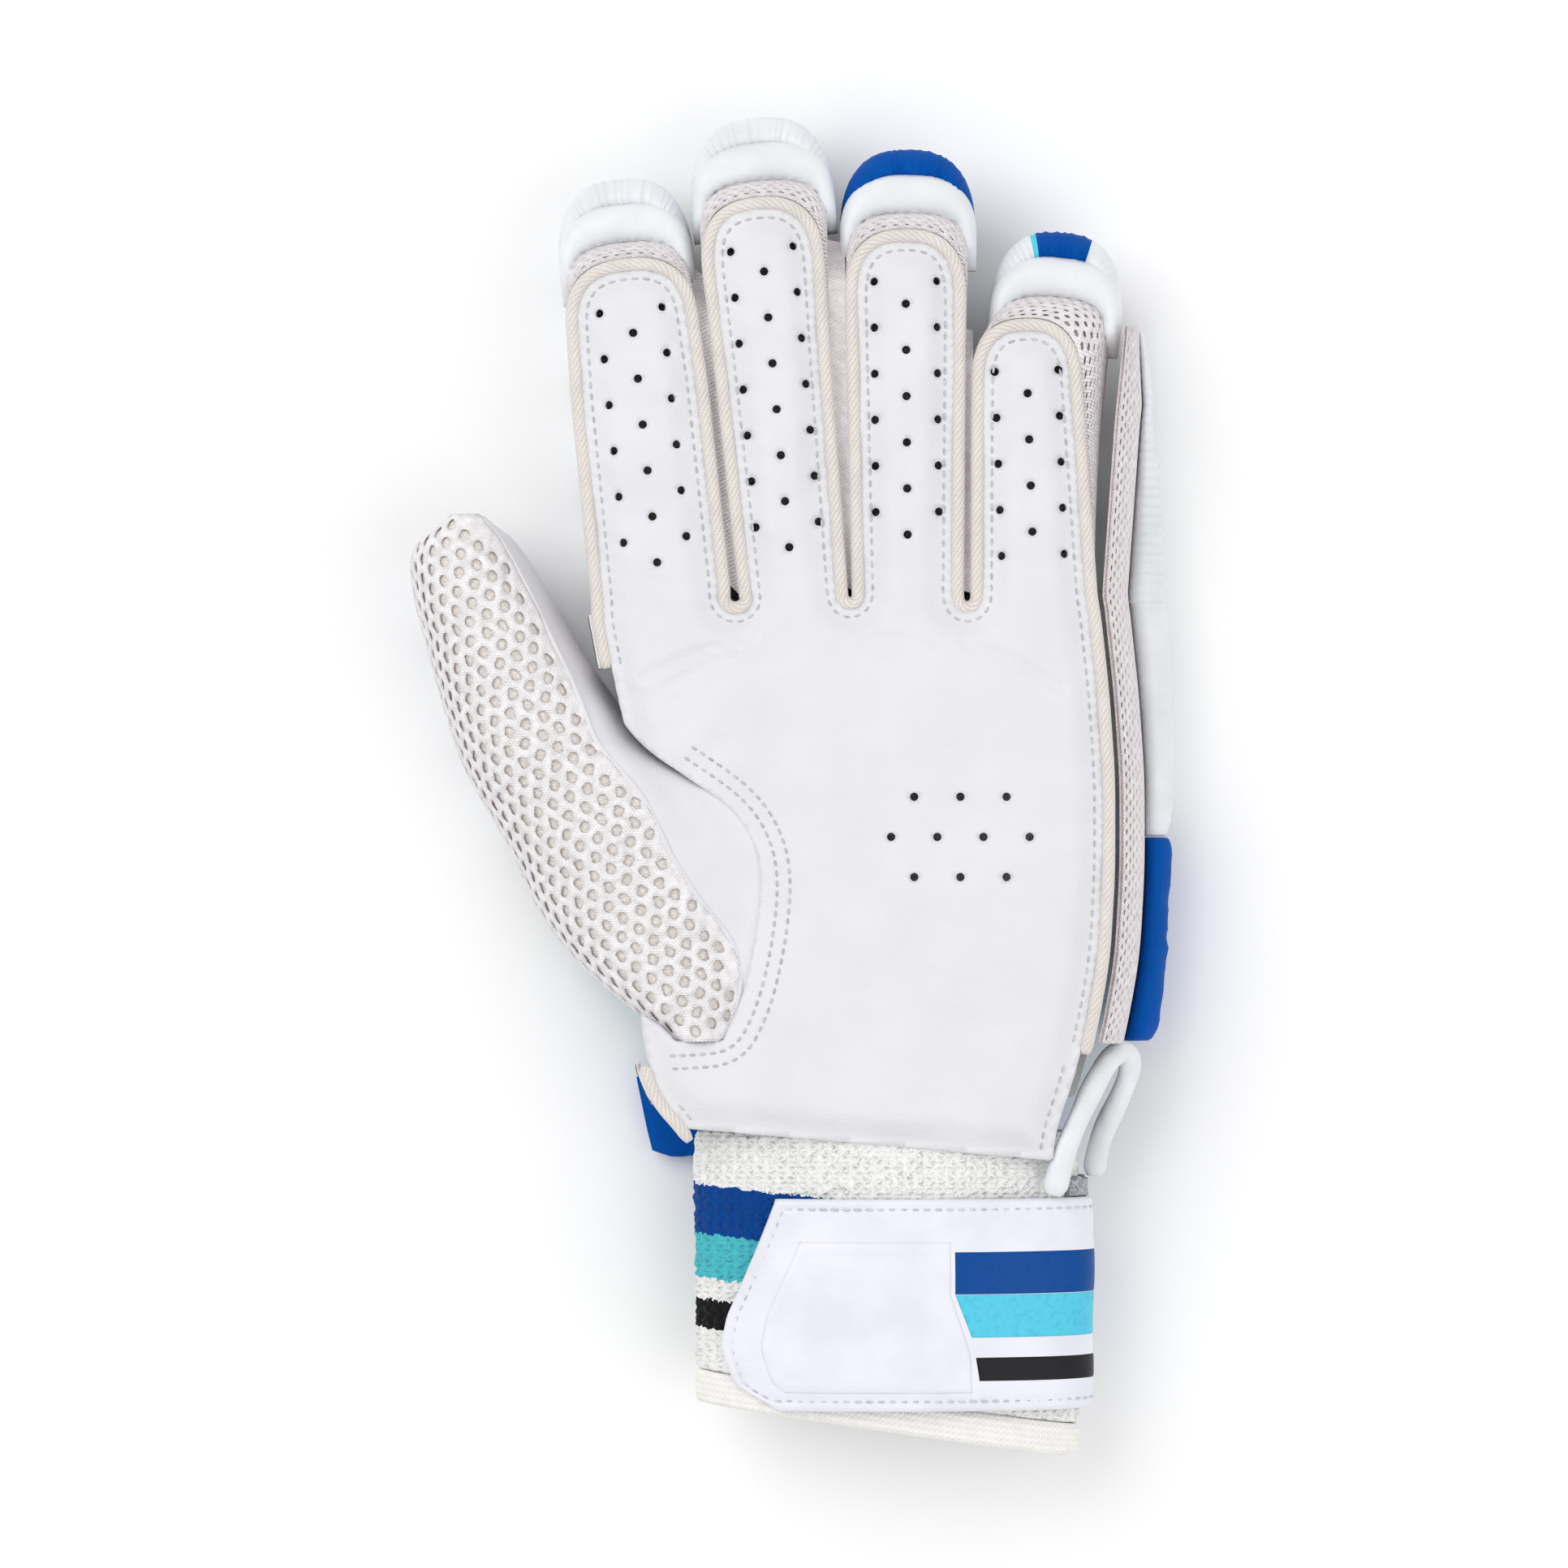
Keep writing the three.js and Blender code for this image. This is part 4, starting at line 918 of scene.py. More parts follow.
def ring_of(middle, width, height, sides, turn=0.0):
    angle = np.linspace(0, 2 * np.pi, sides, endpoint=False)
    x = width / 2 * np.cos(angle)
    y = height / 2 * np.sin(angle)
    return np.stack([middle[0] + x * math.cos(turn) - y * math.sin(turn),
                     middle[1] + x * math.sin(turn) + y * math.cos(turn)], -1)


def over_edge(low, high, share):
    """Points that rise straight from the low path and then curve over to the high one."""
    turn = share * np.pi / 2
    level = mix(low[..., 2:], high[..., 2:], np.sin(turn))
    plan = mix(low[..., :2], high[..., :2], 1 - np.cos(turn))
    return np.concatenate([plan, level], -1)


def strip_net(name, low_path, high_path, bulge, material, thickness, out):
    """Net between two paths of the same count, with rhombic eyelets. Out points away from the hand."""
    middle = (low_path + high_path) / 2
    run = lengths(middle)
    tall = np.linalg.norm(high_path - low_path, axis=1).mean()
    top = points_at(run, tall)
    bottom = points_at(run, 0.0)
    outline = np.concatenate([bottom[::2], bottom[-1:], top[::-2], top[:1]])
    outline = resample(outline, 1.6, True)
    spots = lattice((1.4, 1.5), (run[-1] - 1.2, tall - 1.1), 2.5, 1.75)
    holes = [ring_of(spot, 1.5, 1.15, 6, 0.35) for spot in spots]
    flat, triangles = cut_sheet([outline], holes, 0)
    share = np.clip(flat[:, 1] / tall, 0, 1)[:, None]
    lows = on_path(low_path, run, flat[:, 0])
    highs = on_path(high_path, run, flat[:, 0])
    outs = on_path(out, run, flat[:, 0])
    points = over_edge(lows, highs, share) + outs * bulge * np.sin(np.pi * share)
    piece = flat_build(name, flat, points, triangles, material)
    turn = np.cross(points[triangles[0][1]] - points[triangles[0][0]],
                    points[triangles[0][2]] - points[triangles[0][0]]) @ outs[triangles[0][0]]
    thicken(piece, thickness, -1.0 if turn > 0 else 1.0)
    rows = np.linspace(0, 1, 12)[:, None, None]
    under = over_edge(low_path[None], high_path[None], rows) - out[None] * 0.8 - (0, 0, 0.7)
    back = joined(f"lining_{name}", [under], lining, False, False)
    fit(back)
    return piece, (tall, run[-1])


def outward(path, side=1.0):
    tangent = np.gradient(path, axis=0)
    normal = points_at(-tangent[:, 1], tangent[:, 0], 0.0)
    return side * normal / np.linalg.norm(normal, axis=1, keepdims=True)


def finger_gusset(finger, lobe):
    foot = tape_end(finger) + MESH_REACH - GAP
    low = finger_arch(finger, foot, TIP_CURVE - RIM_REACH - CAP_REACH - GAP, FOOT_INSET, 50, 60)
    high = finger_arch(lobe, tape_end(lobe), LOBE_CURVE, GAP, 50, 60)
    low = finger_place(finger, raised(low, WALL_LOW))
    high = finger_place(lobe, raised(high, EDGE_LEVEL + TAPE_THICK / 2))
    middle = (low + high) / 2
    name = f"mesh_{finger['name']}"
    piece, size = strip_net(name, low, high, 0.5, mesh_white, CLOTH * 0.5, outward(middle))
    fit(piece, f"gusset_{finger['name']}")


SLOT_DROP = 0.5                # the net in a slot lies this far under the tapes
SLOT_START = 1.5               # it starts this far above the slot's foot
SLOT_SHARE = 0.97              # ends at this share of the way to the shorter finger's tape
SLOT_DIVE = 7.0                # goes this deep between the fingertips
SLOT_TURN = 0.86               # from this share of its length on
SLOT_LAP = 0.4                 # lies this far under the leather at both sides
SLOT_SAG = 0.7                 # and sags this much between them


def slot_net(first, second):
    """The pale net that shows in the slot between two finger lobes."""
    y = np.linspace(SLOT_START, SLOT_SHARE * min(tape_end(first), tape_end(second)), 60)
    level = EDGE_LEVEL - SLOT_DROP - SLOT_DIVE * ease(SLOT_TURN, 1, y / y[-1])
    left = finger_place(first, points_at(half_width(first, y) - SLOT_LAP, y, level))
    right = finger_place(second, points_at(SLOT_LAP - half_width(second, y), y, level))
    rows = np.linspace(0, 1, 9)[:, None, None]
    grid = mix(left[None], right[None], rows)
    grid[..., 2] -= SLOT_SAG * np.sin(np.pi * rows[..., 0])
    fit(joined(f"slot_{first['name']}", [grid], mesh_white, False, False))


def tip_path(steps, half, legs, start):
    """Even places round a fingertip: up one leg, round the curve from its start, and down the other leg."""
    across, along = tip_curve(np.linspace(np.pi - start, start, 300))
    if legs:
        across = np.concatenate([[-1.0], across, [1.0]])
        along = np.concatenate([[-legs], along, [-legs]])
    run = lengths(points_at(half * across, TIP_CURVE * along))
    at = np.linspace(0, run[-1], steps)
    return np.interp(at, run, across)[:, None], np.interp(at, run, along)[:, None]


def gathered(phase):
    """Broad puffs between narrow folds, from -1 to 1."""
    return 1 - 2 * np.abs(np.sin(phase / 2)) ** 0.7


def crescent(finger, outer, inner, profile, steps, gathers, depth, legs, start, seed):
    """A padded crescent round the fingertip, gathered where depth is set."""
    springing = finger_length(finger) - TIP_CURVE
    half = half_width(finger, springing)
    across, along = tip_path(steps, half, legs, start)
    out = profile[None, :, 0]
    level = profile[None, :, 1]
    at = np.linspace(0, np.pi, steps)[:, None]
    phase = gathers * at + 2.2 * np.sin(3 * at + seed)
    phase = phase + 1.6 * np.sin(7 * at + 2 * seed) + np.sin(17 * at + seed)
    strength = 0.6 + 0.25 * np.sin(2.6 * at + seed) + 0.25 * np.sin(11 * at + 3 * seed)
    wave = depth * strength * gathered(phase)
    pinch = np.clip(level, 0, 1) * (1.15 - out)
    shrink = taper(steps, steps // 12, 0.45)[:, None]
    reach = mix(inner[0], outer[0], 0.5 + (out - 0.5) * shrink) + 0.35 * wave * out
    side = half - mix(inner[1], outer[1], out * 0.5 + 0.5 - (0.5 - out * 0.5) * shrink)
    z = WALL_LOW + level * shrink * TIP_LEVEL + wave * pinch
    y = springing + np.where(along > 0, reach, TIP_CURVE) * along
    grid = points_at(side * across, y, z)
    grid[..., 2] += 0.2 * ripple(grid, 9, seed + 3) * (level > 0.5)
    return finger_place(finger, grid)


TIP_PLUMP = 0.8                # the soft tips reach this far past the finger's side
CAP_LAP = 1.2                  # and the cap this far further down the finger
RIM_OUT = 1.2
CAP_LEG = 3.6                  # width that the cap's legs take of the finger's side
CAP_STEPS = 110
CAP_GATHERS = 14
CAP_DEPTH = 0.12               # depth of its gathers
RIM_LEG = 2.6
RIM_STEPS = 330
RIM_GATHERS = 46
RIM_DEPTH = 0.55
RIM_CYAN = (0.345, 0.37)       # stripes of the little finger's rim, in its length
RIM_BLUE = (0.37, 0.64)
RIM_START = math.radians(9)
CAP_PROFILE = soft_section([(0, 0), (0, 0.95), (0.3, 1.14), (0.7, 1.14), (1, 0.95), (1, 0)], 32, 3)
RIM_PROFILE = soft_section([
    (0, -0.55), (0, 0.85), (0.35, 1.0), (0.95, 0.6), (1.02, -0.1), (0.5, -0.62),
], 32, 3)


def paint(piece, chosen, material):
    """Gives the chosen faces another material."""
    piece.data.materials.append(material)
    index = np.zeros(len(piece.data.polygons), np.int32)
    piece.data.polygons.foreach_get("material_index", index)
    index[chosen] = len(piece.data.materials) - 1
    piece.data.polygons.foreach_set("material_index", index)


def padded_roll(name, grid, material, node):
    piece = fit(tube(name, grid, material), node)
    return piece


def fingertip(finger, seed):
    name = finger["name"]
    outer = (TIP_CURVE - RIM_REACH + 0.5, -TIP_PLUMP)
    inner = (TIP_CURVE - RIM_REACH - CAP_REACH - CAP_LAP, CAP_LEG)
    grid = crescent(finger, outer, inner, CAP_PROFILE, CAP_STEPS, CAP_GATHERS, CAP_DEPTH, LEG, 0.0, seed)
    padded_roll(f"tip_{name}", grid, pad_white, f"cap_{name}")
    outer = (TIP_CURVE + RIM_OUT, -TIP_PLUMP)
    inner = (TIP_CURVE - RIM_REACH - RIM_OUT / 2, RIM_LEG)
    grid = crescent(finger, outer, inner, RIM_PROFILE, RIM_STEPS, RIM_GATHERS, RIM_DEPTH, 0.0, RIM_START,
                    seed + 1)
    material = pad_blue if name == "ring" else pad_white
    piece = padded_roll(f"ruffle_{name}", grid, material, f"rim_{name}")
    if name == "little":
        columns = grid.shape[1]
        share = np.arange(len(piece.data.polygons)) // columns / RIM_STEPS
        paint(piece, (share > RIM_BLUE[0]) & (share < RIM_BLUE[1]), pad_blue)
        paint(piece, (share > RIM_CYAN[0]) & (share <= RIM_CYAN[1]), pad_cyan)


ROLL_SECTION = soft_section([
    (0.02, 1), (0, 0.45), (0.1, 0.13), (0.26, 0), (0.74, 0), (0.9, 0.13), (1, 0.45), (0.98, 1),
], 40, 3)
ROLL_STEPS = 44
ROLL_ROUND = 0.14              # an end rounds off over this share of the roll
ROLL_SLIM = 0.85               # to this share of its width


def roll_grid(left_at, right_at, start, end, low, high, seed):
    """A padded roll that lies across, round above the ground and flat where it rests."""
    across = np.linspace(0, 1, ROLL_STEPS)[:, None]
    edge = np.clip(1 - np.minimum(across, 1 - across) / ROLL_ROUND, 0, 1)
    swell = 0.5 + 0.5 * np.sqrt(1 - edge ** 2)
    middle = (start + end) / 2
    along = ROLL_SECTION[None, :, 0]
    level = ROLL_SECTION[None, :, 1]
    level = np.maximum(0, level - level.min())
    y = middle + (mix(start, end, along) - middle) * mix(ROLL_SLIM, 1, swell)
    x = mix(left_at(y), right_at(y), across)
    z = high - (high - low) * (1 - level) * swell
    grid = points_at(x, y, z)
    loose = ease(low + 0.6, low + 3, z)
    lean = np.sign(along - 0.5)
    grid[..., 1] += -0.3 * lean * ripple(grid, 8, seed) * loose
    return grid


def finger_rolls(finger, seed):
    span = finger_length(finger) - TIP_CURVE
    for k, row in enumerate(FINGER_ROLLS):
        grid = roll_grid(lambda y: 1 - half_width(finger, y), lambda y: half_width(finger, y) - 1,
                         row["start"] * span, row["end"] * span, 0, ROLL_HEIGHT, seed + k)
        name = f"roll_{finger['name']}_{k + 1}"
        node = f"finger_roll_{finger['name']}_{k + 1}"
        padded_roll(name, finger_place(finger, grid), pad_white, node)


TIP_ROLL_OUTS = np.sin(np.linspace(0.01, 1.33, 26))


def tip_roll(finger):
    springing = finger_length(finger) - TIP_CURVE
    half = half_width(finger, springing) - 1.4
    reach = TIP_CURVE - RIM_REACH - 1.0
    rows = []
    for out in TIP_ROLL_OUTS:
        side = half * (1 - out ** TIP_POWER) ** (1 / TIP_POWER)
        low = ROLL_HEIGHT * 0.45 * float(ease(0.5, 1.0, out))
        bevel = mix(low, ROLL_HEIGHT, 0.3)
        corner = [(-side, ROLL_HEIGHT), (-side, bevel), (-side * 0.75, low), (side * 0.75, low),
                  (side, bevel), (side, ROLL_HEIGHT)]
        section = soft_section(corner, 36, 2)
        y = np.full((len(section), 1), springing + reach * out)
        rows.append(np.concatenate([section[:, :1], y, section[:, 1:]], 1))
    grid = np.array(rows)
    grid[..., 2] = np.clip(grid[..., 2], 0, ROLL_HEIGHT)
    name = finger["name"]
    padded_roll(f"end_roll_{name}", finger_place(finger, grid), pad_white, f"tip_roll_{name}")


# Palm
def palm_left(y):
    return column(PALM_EDGES, "along", "left", -np.asarray(y) / PALM_LENGTH, 0.04) * HALF_HAND


def palm_right(y):
    return column(PALM_EDGES, "along", "right", -np.asarray(y) / PALM_LENGTH, 0.04) * HALF_HAND


def palm_outline(grow_left, grow_right, start, end):
    y = -np.linspace(start, end, 70) * PALM_LENGTH
    left = points_at(palm_left(y) - grow_left, y)
    right = points_at(palm_right(y) + grow_right, y)
    return np.concatenate([left, right[::-1]])


def thumb_at(along):
    """Middle, half width, top, lift and seam of the thumb at shares of its length."""
    soft = 0.012 + 0.02 * float(np.mean(np.asarray(along) > 0.1))
    read = {name: column(THUMB_ROWS, "along", name, along, soft)
            for name in ("middle", "half", "rise", "lift", "seam")}
    return {
        "x": THUMB_X + read["middle"] * THUMB_LENGTH, "y": THUMB_Y - np.asarray(along) * THUMB_LENGTH,
        "half": read["half"] * THUMB_WIDTH, "top": WALL_LOW + read["rise"] * THUMB_RISE,
        "lift": read["lift"], "seam": np.radians(read["seam"]),
    }


def thumb_outline(grow, start=0.0, end=0.985):
    row = thumb_at(np.linspace(start, end, 60))
    left = points_at(row["x"] - row["half"] - grow, row["y"])
    right = points_at(row["x"] + row["half"] + grow, row["y"])
    return np.concatenate([left, right[::-1]])


def lobe_outline(finger, end, curve, inset, foot):
    arch = finger_arch(finger, end, curve, inset)
    side = half_width(finger, 0) - inset
    ends = np.array([[side, foot], [-side, foot]])
    return finger_place(finger, resample(np.concatenate([arch, ends]), 1.3, True))


HOLE_GROUP = (3, 4, 3)         # the group of air holes in the palm, row by row
GROUP_PLACE = (HAND_WIDTH * 0.23, -PALM_LENGTH * 0.44)


def air_hole(spot):
    return ring_of(spot, 2 * HOLE_RADIUS, 2 * HOLE_RADIUS, 12)


def air_holes():
    rings = []
    spots = []
    for finger in LOBES:
        start = tape_end(finger) - TAPE_WIDTH - HOLE_START
        for k in range(finger["rows"]):
            y = start - k * HOLE_PITCH
            own = [(-HOLE_SPREAD, y), (HOLE_SPREAD, y)]
            if k < finger["middles"]:
                own.append((0.0, y - HOLE_PITCH / 2))
            for spot in own:
                rings.append(finger_place(finger, air_hole(spot)))
                spots.append(finger_place(finger, spot))
    for row, count in enumerate(HOLE_GROUP):
        y = GROUP_PLACE[1] + (row - 1) * HOLE_PITCH * 0.87
        for k in range(count):
            spot = (GROUP_PLACE[0] + (k - (count - 1) / 2) * HOLE_PITCH, y)
            rings.append(air_hole(spot))
            spots.append(spot)
    return rings, np.array(spots)


# Creases of the palm: from and to are shares of HALF_HAND across and of PALM_LENGTH down.
CREASES = [
    {"from": (-0.79, 0.145), "to": (-0.36, 0.075), "deep": 1.5, "wide": 1.15},
    {"from": (-0.72, 0.17), "to": (-0.42, 0.105), "deep": 0.9, "wide": 0.9},
    {"from": (0.1, 0.075), "to": (0.36, 0.10), "deep": 0.9, "wide": 1.2},
    {"from": (0.48, 0.085), "to": (0.86, 0.17), "deep": 1.3, "wide": 1.2},
    {"from": (-0.1, 0.07), "to": (0.02, 0.17), "deep": 0.4, "wide": 2.4},
    {"from": (-0.74, 0.37), "to": (-0.5, 0.27), "deep": 0.8, "wide": 3.0},
    {"from": (0.3, 0.2), "to": (0.24, 0.36), "deep": 0.5, "wide": 4.0},
]


def palm_polygon():
    """Outline of the leather: under the tape's edge, then along the wrist and up the thumb side."""
    slant = PALM_SLANT / 2 / PALM_LENGTH
    away = GAP * 2
    down = -np.linspace(SIDE_END + 0.005, 1.005 + slant, 20) * PALM_LENGTH
    right = points_at(palm_right(down) + away, down)
    up = -np.linspace(1.005 - slant, WEB_END + 0.005, 60) * PALM_LENGTH
    left = points_at(palm_left(up) - away, up)
    edge = beside(BINDING, TAPE_WIDTH / 2 - TAPE_LAP)
    return resample(np.concatenate([edge, right, left]), 1.1, True)


BINDING = binding_path()
PALM_POLYGON = palm_polygon()
PALM_SEGMENTS = sides_of(PALM_POLYGON)


SEAM_DIP = 0.25                # the seam pulls the leather down beside the tape
HOLLOW_DEPTH = 1.0             # the middle of the palm lies lower, over this reach across and along
HOLLOW_REACH = (24.0, 34.0)


def palm_height(xy):
    away = distance(xy, PALM_SEGMENTS)
    height = LEATHER_EDGE + PALM_RISE * ease(0.6, PALM_EASE, away)
    height = height - SEAM_DIP * np.exp(-((away - 1.4) / 0.9) ** 2)
    space = raised(xy, 0.0)
    height += 0.3 * ripple(space, 26, 11) * ease(1, 6, away)
    fingers = ease(-6, 8, xy[:, 1])
    height += 0.16 * ripple(space * (0.35, 1, 1), 6.5, 12) * ease(2, 5, away) * mix(0.5, 1, fingers)
    from_middle = (xy - (-0.12 * HALF_HAND, -0.5 * PALM_LENGTH)) / HOLLOW_REACH
    height -= HOLLOW_DEPTH * np.exp(-(from_middle ** 2).sum(1))
    for crease in CREASES:
        ends = np.array([crease["from"], crease["to"]]) * (HALF_HAND, -PALM_LENGTH)
        bent = np.array([ends[0], ends.mean(0) + (0.6, 1.4), ends[1]])
        segments = np.stack([bent[:-1], bent[1:]], 1)
        gap = distance(xy, segments)
        height -= crease["deep"] * (np.exp(-(gap / crease["wide"]) ** 2)
                                    - 0.5 * np.exp(-(gap / (2.2 * crease["wide"])) ** 2))
    return height


def palm_leather():
    rings, spots = air_holes()
    cut = thumb_outline(-1.2, 0.3)
    flat, triangles = cut_sheet([PALM_POLYGON], rings + [resample(cut, 1.3, True)], 1.25)
    height = palm_height(flat)
    gap = np.full(len(flat), 1e9)
    for spot in spots:
        gap = np.minimum(gap, np.linalg.norm(flat - spot, axis=1))
    height -= 0.3 * np.exp(-np.clip(gap - HOLE_RADIUS, 0, 9) / 0.7)
    piece = flat_build("palm_face", flat, raised(flat, height[:, None]), triangles, palm_white)
    thicken(piece, LEATHER * 0.85)
    fit(piece, "palm_leather")


STITCH_AWAY = TAPE_WIDTH / 2 + 1.7
STITCH_LIFT = 0.06
EDGE_STITCH = 2.2              # stitches of the palm's free edges from the edge
DOUBLE_SEAM = (2.6, 5.4)       # rows round the thumb's root, from its outline
SEAM_TAIL = (-18.0, -1.0)      # and from the thumb's foot to their end


def on_palm(path, lift=STITCH_LIFT):
    return raised(path, palm_height(path)[:, None] + lift)


def palm_stitches():
    seam = soften(resample(beside(BINDING, STITCH_AWAY), 0.6), 6)
    slant = PALM_SLANT / 2
    y = -np.linspace(SIDE_END * PALM_LENGTH + 2, PALM_LENGTH + slant, 40)
    right = points_at(palm_right(y) - EDGE_STITCH, y)
    y = -np.linspace(0.93 * PALM_LENGTH, PALM_LENGTH - slant, 30)
    left = points_at(palm_left(y) + EDGE_STITCH, y)
    paths = [on_palm(path) for path in (seam, right, left)]
    fit(stitches("palm_stitching", paths, shaded_thread))
    arcs = []
    for grow in DOUBLE_SEAM:
        row = thumb_at(np.linspace(0.47, 0.985, 120))
        edge = points_at(row["x"] + row["half"], row["y"])
        last = edge[-1]
        end = (row["x"][-1], last[1]) + np.array(SEAM_TAIL)
        tail = last + (end - last) * np.linspace(0, 1, 30)[1:, None]
        edge = soften(resample(np.concatenate([edge, tail]), 0.8), 30)
        arc = beside(edge, -grow)
        arc = arc[inside(PALM_POLYGON, arc) & (distance(arc, PALM_SEGMENTS) > 3)]
        arcs.append(on_palm(arc, 0.08))
    fit(stitches("thumb_double_stitching", arcs, shaded_thread, 2.2, 1.5))


def back_sheet():
    outlines = [resample(palm_outline(-GAP, TAPE_WIDTH, 0, 0.93), 4, True)]
    for finger in FINGERS:
        away = RIM_REACH + GAP * 2
        end = finger_length(finger) - away
        outlines.append(lobe_outline(finger, end, TIP_CURVE - away, CLOTH_INSET, -LOBE_LAP))
    flat, triangles = cut_sheet(outlines, [], 4)
    piece = flat_build("back_sheet", flat, raised(flat, CLOTH_TOP), triangles, base_cloth)
    thicken(piece, CLOTH)
    fit(piece, "back_cloth")


def hand_rolls():
    for k, row in enumerate(HAND_ROLLS):
        grid = roll_grid(lambda y: palm_left(y) + 1, lambda y: palm_right(y) + TAPE_WIDTH,
                         -row["start"] * PALM_LENGTH, -row["end"] * PALM_LENGTH, 0, ROLL_HEIGHT, 40 + k)
        padded_roll(f"back_roll_{k + 1}", grid, PADS[row["colour"]], f"hand_roll_{k + 1}")


# Outer edge: shares of the little finger's length above the palm and of PALM_LENGTH below it
SIDE_TOP = 0.76
BAR_JOIN = -0.44               # the white bar ends and the blue one starts
SIDE_LOW = -0.82


def side_lines(low, high, count):
    """Leather edge, net foot and bar face along the outer edge, eased."""
    along = np.linspace(high, low, count)
    y = np.where(along < 0, along * PALM_LENGTH, along * finger_length(LITTLE))
    palm = points_at(palm_right(np.minimum(y, 0)) + GAP + TAPE_WIDTH, y)
    finger = finger_place(LITTLE, points_at(half_width(LITTLE, y) + GAP, y))
    edge = soften(np.where(along[:, None] < 0, palm, finger), 12)
    reach = column(SIDE_ROWS, "along", "reach", along, 0.05) * HALF_HAND
    top = edge[:, 0] + CLOTH + GAP
    foot = top + np.minimum(SIDE_FLARE, reach - PAD_WIDTH)
    face = np.maximum(edge[:, 0] + reach, foot + GAP + PAD_WIDTH / 2)
    return {"y": edge[:, 1], "top": top, "foot": foot, "face": face}


def side_net():
    line = side_lines(SIDE_LOW, SIDE_TOP, 200)
    high = points_at(line["top"], line["y"], EDGE_LEVEL)
    low = points_at(line["foot"], line["y"], WALL_LOW - PAD_HEIGHT / 3)
    piece, size = strip_net("outer_mesh", low, high, 0.9, mesh_white, CLOTH * 0.5, outward(high))
    fit(piece, "side_mesh")


BAR_SECTION = soft_section([(0, 0.08), (0, 0.9), (0.45, 1), (1, 0.75), (1, 0.25), (0.45, 0)], 28, 3)


def side_bar(name, start, end, steps, gathers, depth, material, node, seed):
    line = side_lines(end, start, steps)
    share = np.linspace(0, 1, steps)
    full = np.clip(9 * np.minimum(share, 1 - share), 0, 1)
    full = np.sqrt(1 - (1 - full) ** 2)
    phase = 2 * np.pi * gathers * share + 1.5 * np.sin(9 * share + seed)
    worn = 0.35 + 0.65 * np.exp(-((share - 0.4) / 0.22) ** 2)
    wave = depth * gathered(phase) * worn
    out = BAR_SECTION[None, :, 0]
    level = BAR_SECTION[None, :, 1]
    inner = (line["foot"] + GAP)[:, None]
    outer = (line["face"] + 0.5 * wave - PAD_WIDTH / 3 * (1 - full))[:, None]
    height = (PAD_HEIGHT * mix(0.62, 1, full))[:, None]
    y = line["y"].copy()
    y[0] -= GAP if name.endswith("blue") else 0
    x = mix(inner, outer, out)
    z = PAD_MIDDLE + (level - 0.5) * height + wave[:, None] * out * np.clip(level, 0, 1)
    grid = points_at(x, y[:, None], z)
    grid[..., 0] += 0.18 * ripple(grid, 7, seed) * out
    padded_roll(name, grid, material, node)


def edge_tape(name, side, start, end, node):
    y = -np.linspace(start, end, 240) * PALM_LENGTH
    x = palm_left(y) if side < 0 else palm_right(y)
    path = points_at(x + side * (GAP + TAPE_WIDTH / 2), y, TAPE_LOW)
    path = resample(path, 0.8)
    path[:, 2] += 0.25 * ripple(path, 24, 6)
    section = TAPE_SECTION * (-side, 1)
    fit(tube(name, sweep(path, tapered(section, len(path), 3, 0.6)), tape_cream), node)


def edge_wall(name, side, start, end, node):
    y = -np.linspace(start, end, 40) * PALM_LENGTH
    x = (palm_left(y) if side < 0 else palm_right(y)) + side * TAPE_WIDTH
    low = points_at(x, y, WALL_LOW)
    high = points_at(x, y, EDGE_LEVEL)
    piece, size = strip_net(name, low, high, 0.3, mesh_white, CLOTH * 0.5, outward(low, -side))
    fit(piece, node)


# Thumb
def thumb_points(row, angle, inset):
    """Points of the thumb's arch. Row holds arrays that fit the angles."""
    xy = points_at(row["x"] + row["half"] * 0.9, row["y"]).reshape(-1, 2)
    palm = np.where(row["lift"].ravel() > 0.01, palm_height(xy), 0).reshape(row["lift"].shape)
    lifted = mix(WALL_LOW, np.maximum(palm - 0.9, WALL_LOW), row["lift"])
    foot = np.where(angle < np.pi / 2, mix(WALL_LOW, lifted, ease(np.pi / 2, 0, angle)), WALL_LOW)
    reach = np.maximum(row["half"] - inset, row["half"] * 0.3)
    height = np.maximum(row["top"] - inset - foot, (row["top"] - foot) * 0.3)
    bow = np.abs(np.cos(angle)) ** 0.88 * np.sign(np.cos(angle))
    z = foot + height * np.sin(angle)
    x = row["x"] + reach * bow
    return points_at(x, row["y"], z)


def thumb_grid(row, angle, inset):
    """The thumb's arch with the unevenness that its layers share."""
    grid = thumb_points(row, angle, inset)
    bumps = ripple(grid, 11, 70) * ease(0, 10, grid[..., 2] - WALL_LOW)
    return grid + 0.22 * bumps[..., None] * (0.3, 0, 1)


def rows_for(along, columns):
    row = thumb_at(along)
    return {key: np.repeat(value[:, None], columns, 1) for key, value in row.items()}


THUMB_ALONG = np.concatenate([np.linspace(-0.004, 0.06, 14)[:-1], np.linspace(0.06, 0.985, 120)])


def thumb_skin(name, start, end, steps, inset, material, thickness):
    row = rows_for(THUMB_ALONG, steps)
    share = np.linspace(0, 1, steps)[None]
    low = start(row["seam"])
    high = end(row["seam"])
    grid = thumb_grid(row, mix(low, high, share), inset)
    inside_point = (THUMB_X + 22, -40, WALL_LOW - 20)
    return sheet_grid(name, grid, material, thickness, inside_point)


NET_PITCH = 4.15
NET_HOLE = (2.3, 2.75)
NET_THICK = 0.4
BACKING_INSET = 0.5            # the net's backing lies this far inside it
THUMB_LEAN = math.atan2(THUMB_ROWS[-1]["middle"], THUMB_ROWS[-1]["along"])


